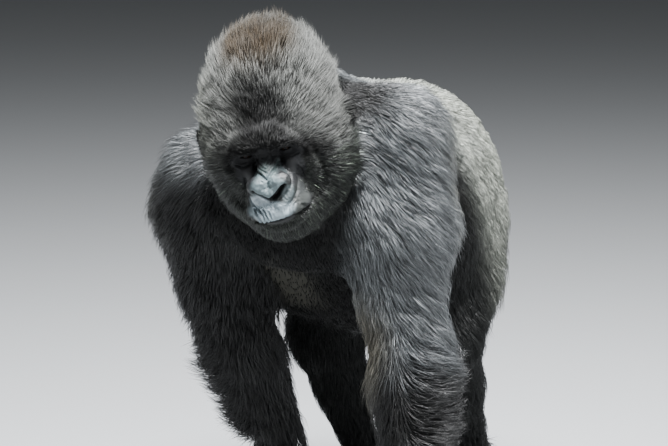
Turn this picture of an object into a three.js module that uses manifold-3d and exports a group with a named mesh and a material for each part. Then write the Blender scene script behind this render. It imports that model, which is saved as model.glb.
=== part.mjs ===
// A silverback mountain gorilla, standing on its knuckles: a still, life-size model, out to the tips of its coat.
// Millimetres, +Z up. It faces -Y and its left is +X. The origin is on the floor, under the middle of its box.
// Flesh and coat are smooth fields made of named masses. Each piece is its field drawn as a faceted solid,
// with small facets where it curves sharply, and thin cuts part it from its neighbours.

import * as THREE from "three";
import { edgeTable, triTable } from "three/addons/objects/MarchingCubes.js";
import { mergeVertices } from "three/addons/utils/BufferGeometryUtils.js";
import Module from "manifold-3d";

const wasm = await Module();
wasm.setup();

const point = (x, y, z) => new THREE.Vector3(x, y, z);
const { degToRad } = THREE.MathUtils;

// ---- Driving dimensions ----

const CUT = 0.6; // width of the cut that parts two pieces
const SEAT = 0.4; // room round an eye, a nail or an ear in its seat
const FLOOR_BITE = 4; // how far knuckles and soles are pressed flat

// Joint centres of the stance. The left arm carries the weight and the right shoulder hangs lower.
const LEFT_ARM = {
  side: 1,
  shoulder: point(196, -215, 845),
  biceps: point(206, -238, 700),
  aboveElbow: point(200, -240, 588),
  elbow: point(228, -240, 482),
  wrist: point(259, -285, 190),
  turn: 4,
};
const RIGHT_ARM = {
  side: -1,
  shoulder: point(-230, -180, 740),
  biceps: point(-236, -165, 712),
  aboveElbow: point(-232, -125, 556),
  elbow: point(-212, -95, 470),
  wrist: point(-158, 5, 190),
  turn: -6,
};
const LEFT_LEG = {
  side: 1,
  hip: point(92, 385, 610),
  knee: point(150, 200, 405),
  ankle: point(132, 425, 110),
  turn: 8,
};
const RIGHT_LEG = {
  side: -1,
  hip: point(-92, 385, 600),
  knee: point(-114, 165, 402),
  ankle: point(-84, 330, 110),
  turn: -10,
};

// The head's own frame has its origin between the ears at eye level.
const HEAD_AT = point(17, -430, 892);
const HEAD_PITCH = 17;
const HEAD_ROLL = -13.5;
const HEAD_YAW = 9.4;
const HEAD_TURN = new THREE.Quaternion().setFromEuler(
  new THREE.Euler(degToRad(HEAD_PITCH), degToRad(HEAD_ROLL), degToRad(HEAD_YAW), "ZYX"),
);
const inHead = (p) => p.clone().applyQuaternion(HEAD_TURN).add(HEAD_AT);

const EYE_RADIUS = 13;
const EYE_APART = 78; // between the pupils
const EYE_HEIGHT = 9;
const EYE_PROUD = 5; // how far the eyeball stands out of the flesh of its socket

// ---- Fields: distances in millimetres, negative inside ----

function roundCone(from, to, radiusFrom, radiusTo = radiusFrom) {
  const axis = to.clone().sub(from);
  return (p) => {
    const x = p.x - from.x;
    const y = p.y - from.y;
    const z = p.z - from.z;
    const along = (x * axis.x + y * axis.y + z * axis.z) / axis.lengthSq();
    const t = Math.min(1, Math.max(0, along));
    const away = Math.hypot(x - axis.x * t, y - axis.y * t, z - axis.z * t);
    return away - (radiusFrom + (radiusTo - radiusFrom) * t);
  };
}

function ellipsoid(centre, radii) {
  return (p) => {
    const x = (p.x - centre.x) / radii.x;
    const y = (p.y - centre.y) / radii.y;
    const z = (p.z - centre.z) / radii.z;
    const scaled = Math.hypot(x, y, z);
    const steepness = Math.hypot(x / radii.x, y / radii.y, z / radii.z) || 1 / radii.x;
    return (scaled * (scaled - 1)) / steepness;
  };
}

// The lesser of two distances, with the crease between them filled over the given width.
function soft(a, b, width) {
  const overlap = Math.max(width - Math.abs(a - b), 0) / width;
  return Math.min(a, b) - (overlap * overlap * width) / 4;
}

const join = (width, ...fields) => (p) => fields.map((field) => field(p)).reduce((a, b) => soft(a, b, width));
const hollow = (width, field, ...pits) => (p) => pits.reduce((a, pit) => -soft(-a, pit(p), width), field(p));

// A field made in a turned frame, read in the body's frame.
function placed(field, at, turn) {
  const back = turn.clone().invert();
  const local = point(0, 0, 0);
  return (p) => field(local.copy(p).sub(at).applyQuaternion(back));
}

const bothSides = (make) => [make(1), make(-1)];
const towards = (from, to, share) => from.clone().lerp(to, share);

// ---- Trunk ----

const chest = join(
  70,
  roundCone(point(0, -215, 790), point(0, 60, 730), 168, 215),
  roundCone(point(18, -190, 872), point(0, 60, 800), 108, 140),
  roundCone(point(0, 60, 792), point(0, 320, 742), 150, 172),
  ellipsoid(point(0, -285, 730), point(150, 90, 130)),
);
const belly = ellipsoid(point(0, 130, 655), point(252, 270, 238));
const rump = join(
  70,
  ellipsoid(point(0, 370, 700), point(198, 185, 222)),
  ...bothSides((side) => ellipsoid(point(side * 78, 395, 645), point(126, 150, 180))),
);
const core = join(90, chest, belly, rump);

// ---- Limbs, with the coat that hangs from them ----

const deltoid = ({ side, shoulder }) =>
  ellipsoid(point(shoulder.x - side * 8, shoulder.y + 6, shoulder.z + 16), point(116, 126, 134));

const upperArm = (arm) =>
  join(
    36,
    deltoid(arm),
    roundCone(arm.shoulder, arm.biceps, 104, 120),
    roundCone(arm.biceps, arm.aboveElbow, 120, 95),
    roundCone(arm.aboveElbow, arm.elbow, 93, 84),
  );

function forearm({ elbow, wrist }) {
  const bulge = towards(elbow, wrist, 0.22);
  return join(
    30,
    roundCone(elbow, bulge, 86, 95),
    roundCone(bulge, towards(elbow, wrist, 0.96), 95, 77),
    ellipsoid(point(elbow.x, elbow.y + 34, elbow.z - 24), point(74, 76, 84)),
  );
}

function thigh({ hip, knee }) {
  const middle = towards(hip, knee, 0.45);
  return join(60, roundCone(hip, middle, 130, 120), roundCone(middle, knee, 120, 82));
}

function shank({ knee, ankle }) {
  const calf = towards(knee, ankle, 0.4);
  return join(
    35,
    roundCone(knee, calf, 82, 62),
    roundCone(calf, towards(knee, ankle, 0.98), 62, 52),
    ellipsoid(point(calf.x, calf.y + 22, calf.z + 10), point(58, 62, 90)),
  );
}

const whole = {
  leftArm: join(30, upperArm(LEFT_ARM), forearm(LEFT_ARM)),
  rightArm: join(30, upperArm(RIGHT_ARM), forearm(RIGHT_ARM)),
  leftLeg: join(40, thigh(LEFT_LEG), shank(LEFT_LEG)),
  rightLeg: join(40, thigh(RIGHT_LEG), shank(RIGHT_LEG)),
};

// ---- Head, in its own frame: the hair of crest, temples and cheeks, then the bare face ----

const dome = join(
  50,
  ellipsoid(point(0, 30, 40), point(120, 128, 110)),
  ellipsoid(point(17, 40, 108), point(112, 104, 86)),
  roundCone(point(19, 10, 140), point(21, 90, 148), 56, 60),
);
const temples = bothSides((side) => ellipsoid(point(side * 78, -2, 14), point(66, 92, 86)));
const cheeks = bothSides((side) => ellipsoid(point(side * 76, 2, -52), point(74, 86, 88)));
const jaw = join(
  34,
  ...bothSides((side) => roundCone(point(side * 62, 14, -122), point(side * 28, -78, -138), 56, 42)),
  ellipsoid(point(0, -86, -138), point(54, 48, 42)),
);
const brow = join(
  14,
  roundCone(point(-30, -104, 36), point(30, -104, 36), 21),
  ...bothSides((side) => roundCone(point(side * 30, -104, 36), point(side * 82, -66, 20), 21, 24)),
);
const muzzle = join(
  20,
  ellipsoid(point(0, -100, -80), point(56, 58, 56)),
  roundCone(point(0, -92, 8), point(0, -128, -32), 17, 21),
);
const nose = join(
  7,
  ...bothSides((side) => ellipsoid(point(side * 23, -136, -44), point(23, 20, 21))),
  ellipsoid(point(0, -148, -46), point(15, 14, 17)),
);
const lips = join(
  8,
  roundCone(point(-38, -118, -98), point(38, -118, -98), 24),
  ellipsoid(point(0, -132, -96), point(42, 24, 24)),
);
const sockets = bothSides((side) =>
  ellipsoid(point((side * EYE_APART) / 2, -114, EYE_HEIGHT), point(25, 22, 16)),
);
const foreheadDip = ellipsoid(point(0, -124, 96), point(58, 34, 34));
const nostrils = bothSides((side) => roundCone(point(side * 8, -166, -60), point(side * 25, -154, -44), 5, 7));
const mouth = join(
  4,
  ...bothSides((side) => roundCone(point(0, -158, -114), point(side * 50, -134, -118), 5)),
);

const hairyHead = hollow(26, join(44, dome, ...temples, ...cheeks, jaw), foreheadDip);
const headShape = hollow(
  8,
  join(9, join(24, hairyHead, join(16, brow, muzzle)), nose, lips),
  ...sockets,
  ...nostrils,
  mouth,
);

const EAR_AT = point(135, 38, 8);
const ear = ({ side }) => {
  const at = point(side * EAR_AT.x, EAR_AT.y, EAR_AT.z);
  const shell = ellipsoid(point(at.x + side * 12, at.y, at.z), point(20, 17, 30));
  const bowl = ellipsoid(point(at.x + side * 30, at.y - 8, at.z + 2), point(13, 9, 18));
  return hollow(4, shell, bowl);
};

const headField = placed(headShape, HEAD_AT, HEAD_TURN);
const neckField = join(
  50,
  roundCone(point(10, -200, 862), inHead(point(0, 60, 0)), 138, 112),
  roundCone(point(16, -190, 890), inHead(point(0, 78, 88)), 96, 108),
  roundCone(point(0, -260, 790), inHead(point(0, 30, -90)), 110, 66),
);

// ---- The whole body, softly joined ----

const torso = join(60, core, neckField, headField);

// ---- Drawing a field as a closed solid ----

function gridLines(low, high, cell) {
  const count = Math.ceil((high - low) / cell);
  return Array.from({ length: count + 1 }, (_, n) => low + ((high - low) * n) / count);
}

// Gives, for any cell size, the grid over the box that holds the points with a margin round them.
const gridIn = (points, margin) => (cell) => {
  const box = new THREE.Box3().setFromPoints(points).expandByScalar(margin);
  return ["x", "y", "z"].map((axis) => gridLines(box.min[axis], box.max[axis], cell));
};

const CORNERS = [
  [0, 0, 0],
  [1, 0, 0],
  [1, 1, 0],
  [0, 1, 0],
  [0, 0, 1],
  [1, 0, 1],
  [1, 1, 1],
  [0, 1, 1],
];
const EDGES = [
  [0, 1],
  [1, 2],
  [2, 3],
  [3, 0],
  [4, 5],
  [5, 6],
  [6, 7],
  [7, 4],
  [0, 4],
  [1, 5],
  [2, 6],
  [3, 7],
];
const CLEAR_OF_CORNER = 0.05; // share of an edge that a vertex keeps from either end, so that no two coincide

function sampled(field, grid) {
  const [xs, ys, zs] = grid;
  const values = new Float64Array(xs.length * ys.length * zs.length);
  const at = point(0, 0, 0);
  let index = 0;
  zs.forEach((z, k) => {
    ys.forEach((y, j) => {
      xs.forEach((x, i) => {
        const onRim = [i, j, k].some((n, axis) => n === 0 || n === grid[axis].length - 1);
        const value = field(at.set(x, y, z));
        values[index++] = onRim ? Math.max(value, 1) : value;
      });
    });
  });
  return values;
}

function drawn(field, grid) {
  const step = [1, grid[0].length, grid[0].length * grid[1].length];
  const values = sampled(field, grid);
  const positions = [];
  const triangles = [];
  const vertexOnEdge = new Map();

  const vertexBetween = (a, b) => {
    const [low, high] = a.index < b.index ? [a, b] : [b, a];
    const key = low.index * 3 + step.indexOf(high.index - low.index);
    if (!vertexOnEdge.has(key)) {
      const crossing = low.value / (low.value - high.value);
      const t = Math.min(1 - CLEAR_OF_CORNER, Math.max(CLEAR_OF_CORNER, crossing));
      vertexOnEdge.set(key, positions.length / 3);
      positions.push(...low.place.map((from, axis) => from + (high.place[axis] - from) * t));
    }
    return vertexOnEdge.get(key);
  };

  const drawCell = (i, j, k) => {
    const corners = CORNERS.map(([x, y, z]) => {
      const index = (i + x) * step[0] + (j + y) * step[1] + (k + z) * step[2];
      return { index, value: values[index], place: [grid[0][i + x], grid[1][j + y], grid[2][k + z]] };
    });
    const kind = corners.reduce((bits, corner, n) => bits | (corner.value < 0 ? 1 << n : 0), 0);
    if (edgeTable[kind] === 0) return;
    for (let n = kind * 16; triTable[n] !== -1; n += 3) {
      const [a, b, c] = [0, 1, 2].map((m) => {
        const [from, to] = EDGES[triTable[n + m]];
        return vertexBetween(corners[from], corners[to]);
      });
      triangles.push(a, c, b);
    }
  };

  for (let k = 0; k < grid[2].length - 1; k++) {
    for (let j = 0; j < grid[1].length - 1; j++) {
      for (let i = 0; i < grid[0].length - 1; i++) drawCell(i, j, k);
    }
  }
  return new THREE.BufferGeometry()
    .setAttribute("position", new THREE.Float32BufferAttribute(positions, 3))
    .setIndex(triangles);
}

const LEAST_STEEP = 0.25; // keeps a vertex from being thrown far where two masses cancel each other's slope

function slopeOf(field, p) {
  const reach = 0.5;
  const shifted = point(0, 0, 0);
  const along = (x, y, z) => field(shifted.copy(p).add(point(x, y, z)));
  return point(
    along(reach, 0, 0) - along(-reach, 0, 0),
    along(0, reach, 0) - along(0, -reach, 0),
    along(0, 0, reach) - along(0, 0, -reach),
  ).divideScalar(2 * reach);
}

function ontoSurface(v, field) {
  const slope = slopeOf(field, v);
  v.addScaledVector(slope, -field(v) / Math.max(slope.lengthSq(), LEAST_STEEP));
}

// Evens out the facets: each vertex moves towards the middle of its neighbours and back on to the surface.
function settled(geometry, field, rounds = 4) {
  const place = geometry.attributes.position;
  const index = geometry.index.array;
  const vertices = Array.from({ length: place.count }, (_, n) => point(0, 0, 0).fromBufferAttribute(place, n));
  const neighbours = vertices.map(() => new Set());
  for (let n = 0; n < index.length; n++) {
    const next = n % 3 === 2 ? n - 2 : n + 1;
    neighbours[index[n]].add(index[next]);
    neighbours[index[next]].add(index[n]);
  }
  const longest = (v, near) => Math.max(...[...near].map((n) => vertices[n].distanceTo(v)));
  const onSurface = vertices.map((v, n) => Math.abs(field(v)) < longest(v, neighbours[n]) * 0.25);
  const movable = vertices.map((_, n) => onSurface[n] && [...neighbours[n]].every((m) => onSurface[m]));
  for (let round = 0; round < rounds; round++) {
    const middles = vertices.map((_, n) => {
      const sum = point(0, 0, 0);
      neighbours[n].forEach((m) => sum.add(vertices[m]));
      return sum.divideScalar(neighbours[n].size);
    });
    vertices.forEach((v, n) => {
      if (!movable[n]) return;
      v.lerp(middles[n], 0.6);
      ontoSurface(v, field);
    });
  }
  vertices.forEach((v, n) => place.setXYZ(n, v.x, v.y, v.z));
  return geometry;
}

// Joins facets that lie nearly flat: short edges shrink to a point while the surface stays within tolerance.
// No facet may turn by much or become a sliver, and the shortest edges go first.
const LEAST_COSINE = 0.7; // between a facet's direction before and after
const LEAST_HEIGHT = 0.25; // of a facet over its longest free side, as a share of that side
function thinned(geometry, field, tolerance, longestEdge) {
  const place = geometry.attributes.position;
  const vertices = Array.from({ length: place.count }, (_, n) => point(0, 0, 0).fromBufferAttribute(place, n));
  const facets = [];
  const facetsAt = vertices.map(() => new Set());
  for (let n = 0; n < geometry.index.count; n += 3) {
    const corners = [0, 1, 2].map((m) => geometry.index.getX(n + m));
    corners.forEach((corner) => facetsAt[corner].add(facets.length));
    facets.push(corners);
  }
  const neighboursOf = (v) => new Set([...facetsAt[v]].flatMap((f) => facets[f]).filter((n) => n !== v));
  const normalOf = ([a, b, c]) => b.clone().sub(a).cross(c.clone().sub(a));
  const near = (...points) => {
    const middle = points.reduce((sum, p) => sum.add(p), point(0, 0, 0)).divideScalar(points.length);
    return Math.abs(field(middle)) < tolerance;
  };

  const shrinks = (from, to) => {
    const around = neighboursOf(from);
    const shared = [...neighboursOf(to)].filter((n) => around.has(n));
    if (shared.length !== 2) return false;
    const target = vertices[from].clone().lerp(vertices[to], 0.5);
    ontoSurface(target, field);
    const lost = (f) => facetsAt[from].has(f) && facetsAt[to].has(f);
    const changed = [...facetsAt[from], ...facetsAt[to]].filter((f) => !lost(f));
    for (const f of changed) {
      const before = facets[f].map((n) => vertices[n]);
      const after = facets[f].map((n) => (n === from || n === to ? target : vertices[n]));
      const [was, is] = [normalOf(before), normalOf(after)];
      if (was.dot(is) < LEAST_COSINE * was.length() * is.length()) return false;
      const others = after.filter((v) => v !== target);
      if (others.some((v) => v.distanceTo(target) > longestEdge)) return false;
      if (is.length() < LEAST_HEIGHT * others[0].distanceToSquared(others[1])) return false;
      if (!near(...after) || !others.every((v) => near(v, target))) return false;
    }
    vertices[to].copy(target);
    for (const f of [...facetsAt[from]]) {
      facets[f].forEach((n) => facetsAt[n].delete(f));
      if (facets[f].includes(to)) {
        facets[f] = null;
        continue;
      }
      facets[f] = facets[f].map((n) => (n === from ? to : n));
      facets[f].forEach((n) => facetsAt[n].add(f));
    }
    return true;
  };

  for (let share = 0.3; share <= 1; share += 0.1) {
    for (let from = 0; from < vertices.length; from++) {
      if (facetsAt[from].size === 0 || !near(vertices[from])) continue;
      const options = [...neighboursOf(from)]
        .map((to) => ({ to, length: vertices[to].distanceTo(vertices[from]) }))
        .filter(({ to, length }) => length < longestEdge * share && near(vertices[to]))
        .sort((a, b) => a.length - b.length);
      options.some(({ to }) => shrinks(from, to));
    }
  }
  const used = facets.filter(Boolean);
  return new THREE.BufferGeometry()
    .setAttribute("position", new THREE.Float32BufferAttribute(vertices.flatMap((v) => v.toArray()), 3))
    .setIndex(used.flat());
}

// The same surface a little further out, so that it can clear what fits inside it.
function grown(geometry, by) {
  const wider = geometry.clone();
  wider.computeVertexNormals();
  const { position, normal } = wider.attributes;
  for (let n = 0; n < position.count; n++) {
    position.setXYZ(
      n,
      position.getX(n) + normal.getX(n) * by,
      position.getY(n) + normal.getY(n) * by,
      position.getZ(n) + normal.getZ(n) * by,
    );
  }
  return wider;
}

// ---- Solids ----

const STILL = new THREE.Quaternion();

function solidOf(geometry, at = point(0, 0, 0), turn = STILL) {
  const bare = geometry.clone().applyMatrix4(new THREE.Matrix4().compose(at, turn, point(1, 1, 1)));
  bare.deleteAttribute("normal");
  bare.deleteAttribute("uv");
  const merged = mergeVertices(bare, 1e-4);
  return new wasm.Manifold(
    new wasm.Mesh({
      numProp: 3,
      vertProperties: new Float32Array(merged.attributes.position.array),
      triVerts: new Uint32Array(merged.index.array),
    }),
  );
}

function geometryOf(solid) {
  const { vertProperties, triVerts } = solid.getMesh();
  return new THREE.BufferGeometry()
    .setAttribute("position", new THREE.BufferAttribute(new Float32Array(vertProperties), 3))
    .setIndex(new THREE.BufferAttribute(new Uint32Array(triVerts), 1));
}

const facing = (from, to) => new THREE.Quaternion().setFromUnitVectors(from, to.clone().normalize());
const upright = (turn) => new THREE.Quaternion().setFromAxisAngle(point(0, 0, 1), degToRad(turn));

// What lies ahead of a plane through a point.
const SPACE = 3000;
function ahead(at, normal) {
  const turn = facing(point(0, 0, 1), normal);
  const middle = normal.clone().normalize().multiplyScalar(SPACE / 2).add(at);
  return solidOf(new THREE.BoxGeometry(SPACE, SPACE, SPACE), middle, turn);
}
const aboveFloor = ahead(point(0, 0, 0), point(0, 0, 1));

// A flat cut across a limb: what is before it and what is after it, with the cut's width left out.
function crossCut(at, normal) {
  const half = normal.clone().normalize().multiplyScalar(CUT / 2);
  return {
    after: ahead(at.clone().add(half), normal),
    before: ahead(at.clone().sub(half), normal.clone().negate()),
  };
}

// A curved cut where a limb leaves the trunk, along the crease between the two.
function creaseCut(limb, trunk, grid) {
  const border = drawn((p) => limb(p) - trunk(p), grid);
  return { limb: solidOf(border), limbAndCut: solidOf(grown(border, CUT)) };
}

const kept = (solid, ...regions) => regions.reduce((left, region) => left.intersect(region), solid);
const less = (solid, ...others) => others.reduce((left, other) => left.subtract(other), solid);

// The facets a piece needs: the cell it is drawn in, how far they may lie from the true surface, their size.
const BROAD = { cell: 50, tolerance: 7, longest: 170 };
const LIMB = { cell: 36, tolerance: 5, longest: 110 };
const HAIR = { cell: 26, tolerance: 4, longest: 80 };
const DIGITS = { cell: 10, tolerance: 2.8, longest: 50 };
const FEATURES = { cell: 8, tolerance: 1.5, longest: 40 };

function shaped(field, { cell, tolerance, longest }, gridOf) {
  return thinned(settled(drawn(field, gridOf(cell)), field), field, tolerance, longest);
}
const shapedSolid = (field, detail, gridOf) => solidOf(shaped(field, detail, gridOf));
const BORDER_CELL = 70;

// ---- Where the pieces part ----

const limbs = [
  { name: "left", arm: LEFT_ARM, armField: whole.leftArm, leg: LEFT_LEG, legField: whole.leftLeg },
  { name: "right", arm: RIGHT_ARM, armField: whole.rightArm, leg: RIGHT_LEG, legField: whole.rightLeg },
];

for (const limb of limbs) {
  const { arm, leg } = limb;
  limb.ownSide = ahead(point((arm.side * CUT) / 2, 0, 0), point(arm.side, 0, 0));
  limb.shoulderCut = creaseCut(
    limb.armField,
    join(60, core, neckField),
    gridIn([arm.shoulder, arm.elbow, arm.wrist], 210)(BORDER_CELL),
  );
  limb.hipCut = creaseCut(
    limb.legField,
    (p) => core(p) + 26,
    gridIn([leg.hip, leg.knee, leg.ankle], 210)(BORDER_CELL),
  );
  limb.elbowCut = crossCut(towards(arm.elbow, arm.wrist, 0.04), arm.wrist.clone().sub(arm.biceps));
  limb.wristCut = crossCut(towards(arm.elbow, arm.wrist, 0.93), point(0, 0, -1));
  limb.kneeCut = crossCut(towards(leg.knee, leg.ankle, 0.05), leg.ankle.clone().sub(leg.hip));
  limb.ankleCut = crossCut(towards(leg.knee, leg.ankle, 0.92), point(0, 0, -1));
}

const neckCut = creaseCut(
  join(40, neckField, headField),
  join(60, core, ...limbs.map(({ arm }) => deltoid(arm))),
  gridIn([HEAD_AT], 330)(BORDER_CELL),
);
const headCut = crossCut(inHead(point(0, 92, 0)), point(0, -1, 0.6).applyQuaternion(HEAD_TURN));

// ---- Hands, in their own frame: origin on the floor under the wrist, fingers towards -Y ----

const FINGERS = [
  { name: "little", across: -50, length: 0.88, radius: 17 },
  { name: "ring", across: -17, length: 1.0, radius: 18.5 },
  { name: "middle", across: 17, length: 1.04, radius: 19 },
  { name: "index", across: 50, length: 0.97, radius: 18 },
];
const KNUCKLE_HEIGHT = 96;
const THUMB_TIP_RADIUS = 12;

// On side 1 the thumb lies towards -X.
function fingerJoints(side, { across, length, radius }) {
  const x = side * -across;
  const rest = radius - FLOOR_BITE;
  return {
    knuckle: point(x, -34 * length, KNUCKLE_HEIGHT),
    bend: point(x * 1.08, -82 * length, rest),
    pad: point(x * 1.04, -82 * length + 42, rest),
    tip: point(x, -82 * length + 60, rest + 26),
  };
}

const thumbJoints = (side) => ({
  root: point(side * -36, 4, 146),
  knuckle: point(side * -64, -6, 104),
  tip: point(side * -62, -22, 72),
});

function handField(side, wristHeight) {
  const metacarpals = FINGERS.map((finger) => {
    const { knuckle } = fingerJoints(side, finger);
    return roundCone(point(knuckle.x * 0.55, -2, 176), knuckle, 30, 23);
  });
  const fingers = FINGERS.map((finger) => {
    const { knuckle, bend, pad, tip } = fingerJoints(side, finger);
    const { radius } = finger;
    return join(
      6,
      roundCone(knuckle, bend, radius + 2, radius),
      roundCone(bend, pad, radius, radius - 1),
      roundCone(pad, tip, radius - 1, radius - 4),
    );
  });
  const thumb = thumbJoints(side);
  const wrist = roundCone(point(0, 0, 170), point(0, 0, wristHeight + 60), 44, 60);
  const cuff = ellipsoid(point(0, 6, 212), point(72, 70, 40));
  const thumbBones = join(
    8,
    roundCone(thumb.root, thumb.knuckle, 20, 16),
    roundCone(thumb.knuckle, thumb.tip, 16, THUMB_TIP_RADIUS),
  );
  return join(10, join(16, wrist, cuff), join(14, ...metacarpals), join(3, ...fingers), thumbBones);
}

// ---- Feet, in their own frame: origin on the floor under the ankle, toes towards -Y ----

const TOES = [
  { name: "second", across: 6, reach: -160, length: 46, radius: 15.5 },
  { name: "third", across: 36, reach: -157, length: 44, radius: 15 },
  { name: "fourth", across: 63, reach: -145, length: 40, radius: 14.5 },
  { name: "little", across: 87, reach: -126, length: 34, radius: 14 },
];
const BIG_TOE = {
  root: point(-26, -84, 27),
  knuckle: point(-56, -124, 15),
  tip: point(-66, -162, 14),
  radius: 18.5,
};

// On side 1 the big toe lies towards -X.
function toeJoints(side, { across, reach, length, radius }) {
  const rest = radius - FLOOR_BITE;
  return {
    root: point(side * across * 0.82, reach + 44, 24),
    knuckle: point(side * across, reach + 4, rest + 6),
    tip: point(side * across, reach + 18 - length, rest),
  };
}

function bigToeJoints(side) {
  const mirrored = (p) => point(side * p.x, p.y, p.z);
  return { root: mirrored(BIG_TOE.root), knuckle: mirrored(BIG_TOE.knuckle), tip: mirrored(BIG_TOE.tip) };
}

function footField(side, ankleHeight) {
  const toes = TOES.map((toe) => {
    const { root, knuckle, tip } = toeJoints(side, toe);
    const { radius } = toe;
    return join(6, roundCone(root, knuckle, 19, radius), roundCone(knuckle, tip, radius, radius - 1));
  });
  const { root, knuckle, tip } = bigToeJoints(side);
  const bigToe = join(
    8,
    roundCone(root, knuckle, 25, BIG_TOE.radius),
    roundCone(knuckle, tip, BIG_TOE.radius, BIG_TOE.radius - 2),
  );
  const sole = join(
    18,
    ellipsoid(point(0, 50, 32), point(42, 48, 40)),
    roundCone(point(0, -8, 62), point(side * 14, -96, 30), 48, 30),
    roundCone(point(side * 8, 26, 26), point(side * 44, -96, 22), 31, 27),
    roundCone(point(side * -4, 16, 26), point(side * -12, -84, 24), 31, 27),
    roundCone(point(0, 6, 62), point(0, 4, ankleHeight + 40), 46, 54),
  );
  return join(10, sole, join(3, ...toes), bigToe);
}

// ---- Nails: small domed plates, half sunk in the last bone of each finger and toe ----

const NAIL = { width: 0.52, thick: 0.2, length: 0.6 }; // half sizes, as shares of the digit's radius
const NAIL_SEAT = 0.95; // how far from the digit's middle the nail sits, as a share of its radius

function nail(tip, outwards, along, radius) {
  const facingOut = outwards.clone().normalize();
  const across = along.clone().cross(facingOut).normalize();
  const frame = new THREE.Matrix4().makeBasis(across, facingOut, facingOut.clone().cross(across).negate());
  const turn = new THREE.Quaternion().setFromRotationMatrix(frame);
  const at = tip.clone().addScaledVector(facingOut, radius * NAIL_SEAT);
  return { at, turn, radius };
}

function nailSolid({ at, turn, radius }, clearance = 0) {
  const plate = new THREE.SphereGeometry(1, 6, 3);
  plate.rotateX(Math.PI / 2);
  const sizes = [NAIL.width, NAIL.thick, NAIL.length].map((share) => share * radius + clearance);
  return solidOf(plate.scale(...sizes), at, turn);
}

const fingerNails = (side) => [
  ...FINGERS.map((finger) => {
    const { pad, tip } = fingerJoints(side, finger);
    return { name: finger.name, ...nail(tip, point(0, 1, -0.35), tip.clone().sub(pad), finger.radius - 4) };
  }),
  {
    name: "thumb",
    ...nail(thumbJoints(side).tip, point(side * -0.9, -0.3, 0), point(0, -0.4, -1), THUMB_TIP_RADIUS),
  },
];
const toeNails = (side) => [
  ...TOES.map((toe) => {
    const { knuckle, tip } = toeJoints(side, toe);
    return { name: toe.name, ...nail(tip, point(0, -0.55, 1), tip.clone().sub(knuckle), toe.radius - 1) };
  }),
  {
    name: "big",
    ...nail(bigToeJoints(side).tip, point(0, -0.5, 1), point(side * -0.2, -1, 0), BIG_TOE.radius - 2),
  },
];

// ---- The pieces ----

const pieces = {};

const trunkBox = [point(-400, -460, 330), point(400, 640, 1080)];
pieces.trunk = less(
  shapedSolid(
    join(50, core, neckField, ...limbs.flatMap((limb) => [limb.armField, limb.legField])),
    BROAD,
    gridIn(trunkBox, 0),
  ),
  neckCut.limbAndCut,
  ...limbs.flatMap((limb) => [limb.shoulderCut.limbAndCut, limb.hipCut.limbAndCut]),
);
pieces.neck = kept(
  shapedSolid(join(60, core, neckField), LIMB, gridIn([HEAD_AT, point(0, -200, 850)], 240)),
  neckCut.limb,
  headCut.before,
);

// A hand or foot stands on its own frame's floor and is turned as a whole about the upright.
function extremity(field, box, joint, turn, nails, cut) {
  const place = point(joint.x, joint.y, 0);
  const flesh = shaped(field, DIGITS, gridIn(box, 0));
  const plates = nails.map((each) => ({ ...each, solid: nailSolid(each), seat: nailSolid(each, SEAT) }));
  const bare = less(kept(solidOf(flesh), aboveFloor), ...plates.map(({ seat }) => seat));
  return {
    flesh: kept(solidOf(geometryOf(bare), place, upright(turn)), cut.after),
    nails: plates.map(({ name, solid }) => ({ name, solid: solidOf(geometryOf(solid), place, upright(turn)) })),
  };
}

for (const limb of limbs) {
  const { name, arm, armField, leg, legField } = limb;
  pieces[`upper_arm_${name}`] = less(
    kept(
      shapedSolid(join(50, join(60, core, neckField), armField), LIMB, gridIn([arm.shoulder, arm.elbow], 175)),
      limb.shoulderCut.limb,
      limb.elbowCut.before,
    ),
    neckCut.limbAndCut,
  );
  pieces[`forearm_${name}`] = kept(
    shapedSolid(armField, LIMB, gridIn([arm.elbow, arm.wrist], 140)),
    limb.shoulderCut.limb,
    limb.elbowCut.after,
    limb.wristCut.before,
  );
  const hand = extremity(
    handField(arm.side, arm.wrist.z),
    [point(-95, -115, -15), point(95, 90, 255)],
    arm.wrist,
    arm.turn,
    fingerNails(arm.side),
    limb.wristCut,
  );
  pieces[`hand_${name}`] = hand.flesh;
  hand.nails.forEach((each) => (pieces[`fingernail_${each.name}_${name}`] = each.solid));

  pieces[`thigh_${name}`] = kept(
    shapedSolid(join(50, core, legField), LIMB, gridIn([leg.hip, leg.knee], 190)),
    limb.hipCut.limb,
    limb.kneeCut.before,
    limb.ownSide,
  );
  pieces[`shank_${name}`] = kept(
    shapedSolid(legField, LIMB, gridIn([leg.knee, leg.ankle], 120)),
    limb.kneeCut.after,
    limb.ankleCut.before,
    limb.ownSide,
  );
  const foot = extremity(
    footField(leg.side, leg.ankle.z),
    [point(-115, -215, -15), point(115, 110, 165)],
    leg.ankle,
    leg.turn,
    toeNails(leg.side),
    limb.ankleCut,
  );
  pieces[`foot_${name}`] = foot.flesh;
  foot.nails.forEach((each) => (pieces[`toenail_${each.name}_${name}`] = each.solid));
}

// The face is drawn finer than the hair round it, and an oval cut parts the two.
const FACE_OVAL = { halfWidth: 84, halfHeight: 98, middle: -34, back: -60, depth: 200 };
const faceBox = [point(-105, -200, -150), point(105, -45, 80)];
const headBox = [point(-190, -170, -215), point(190, 205, 260)];

const torsoInHead = (p) => torso(inHead(p));
const solidInHead = (geometry) => solidOf(geometry, HEAD_AT, HEAD_TURN);

function faceRegion(clearance) {
  const { halfWidth, halfHeight, middle, back, depth } = FACE_OVAL;
  const oval = new THREE.CylinderGeometry(1, 1, depth + clearance, 28);
  oval.scale(halfWidth + clearance, 1, halfHeight + clearance);
  return solidInHead(oval.translate(0, back + (clearance - depth) / 2, middle));
}

// How far forward the flesh reaches at a place on the face.
function fleshFront(x, z) {
  let y = -220;
  while (headShape(point(x, y, z)) > 0) y += 0.5;
  return y;
}

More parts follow.
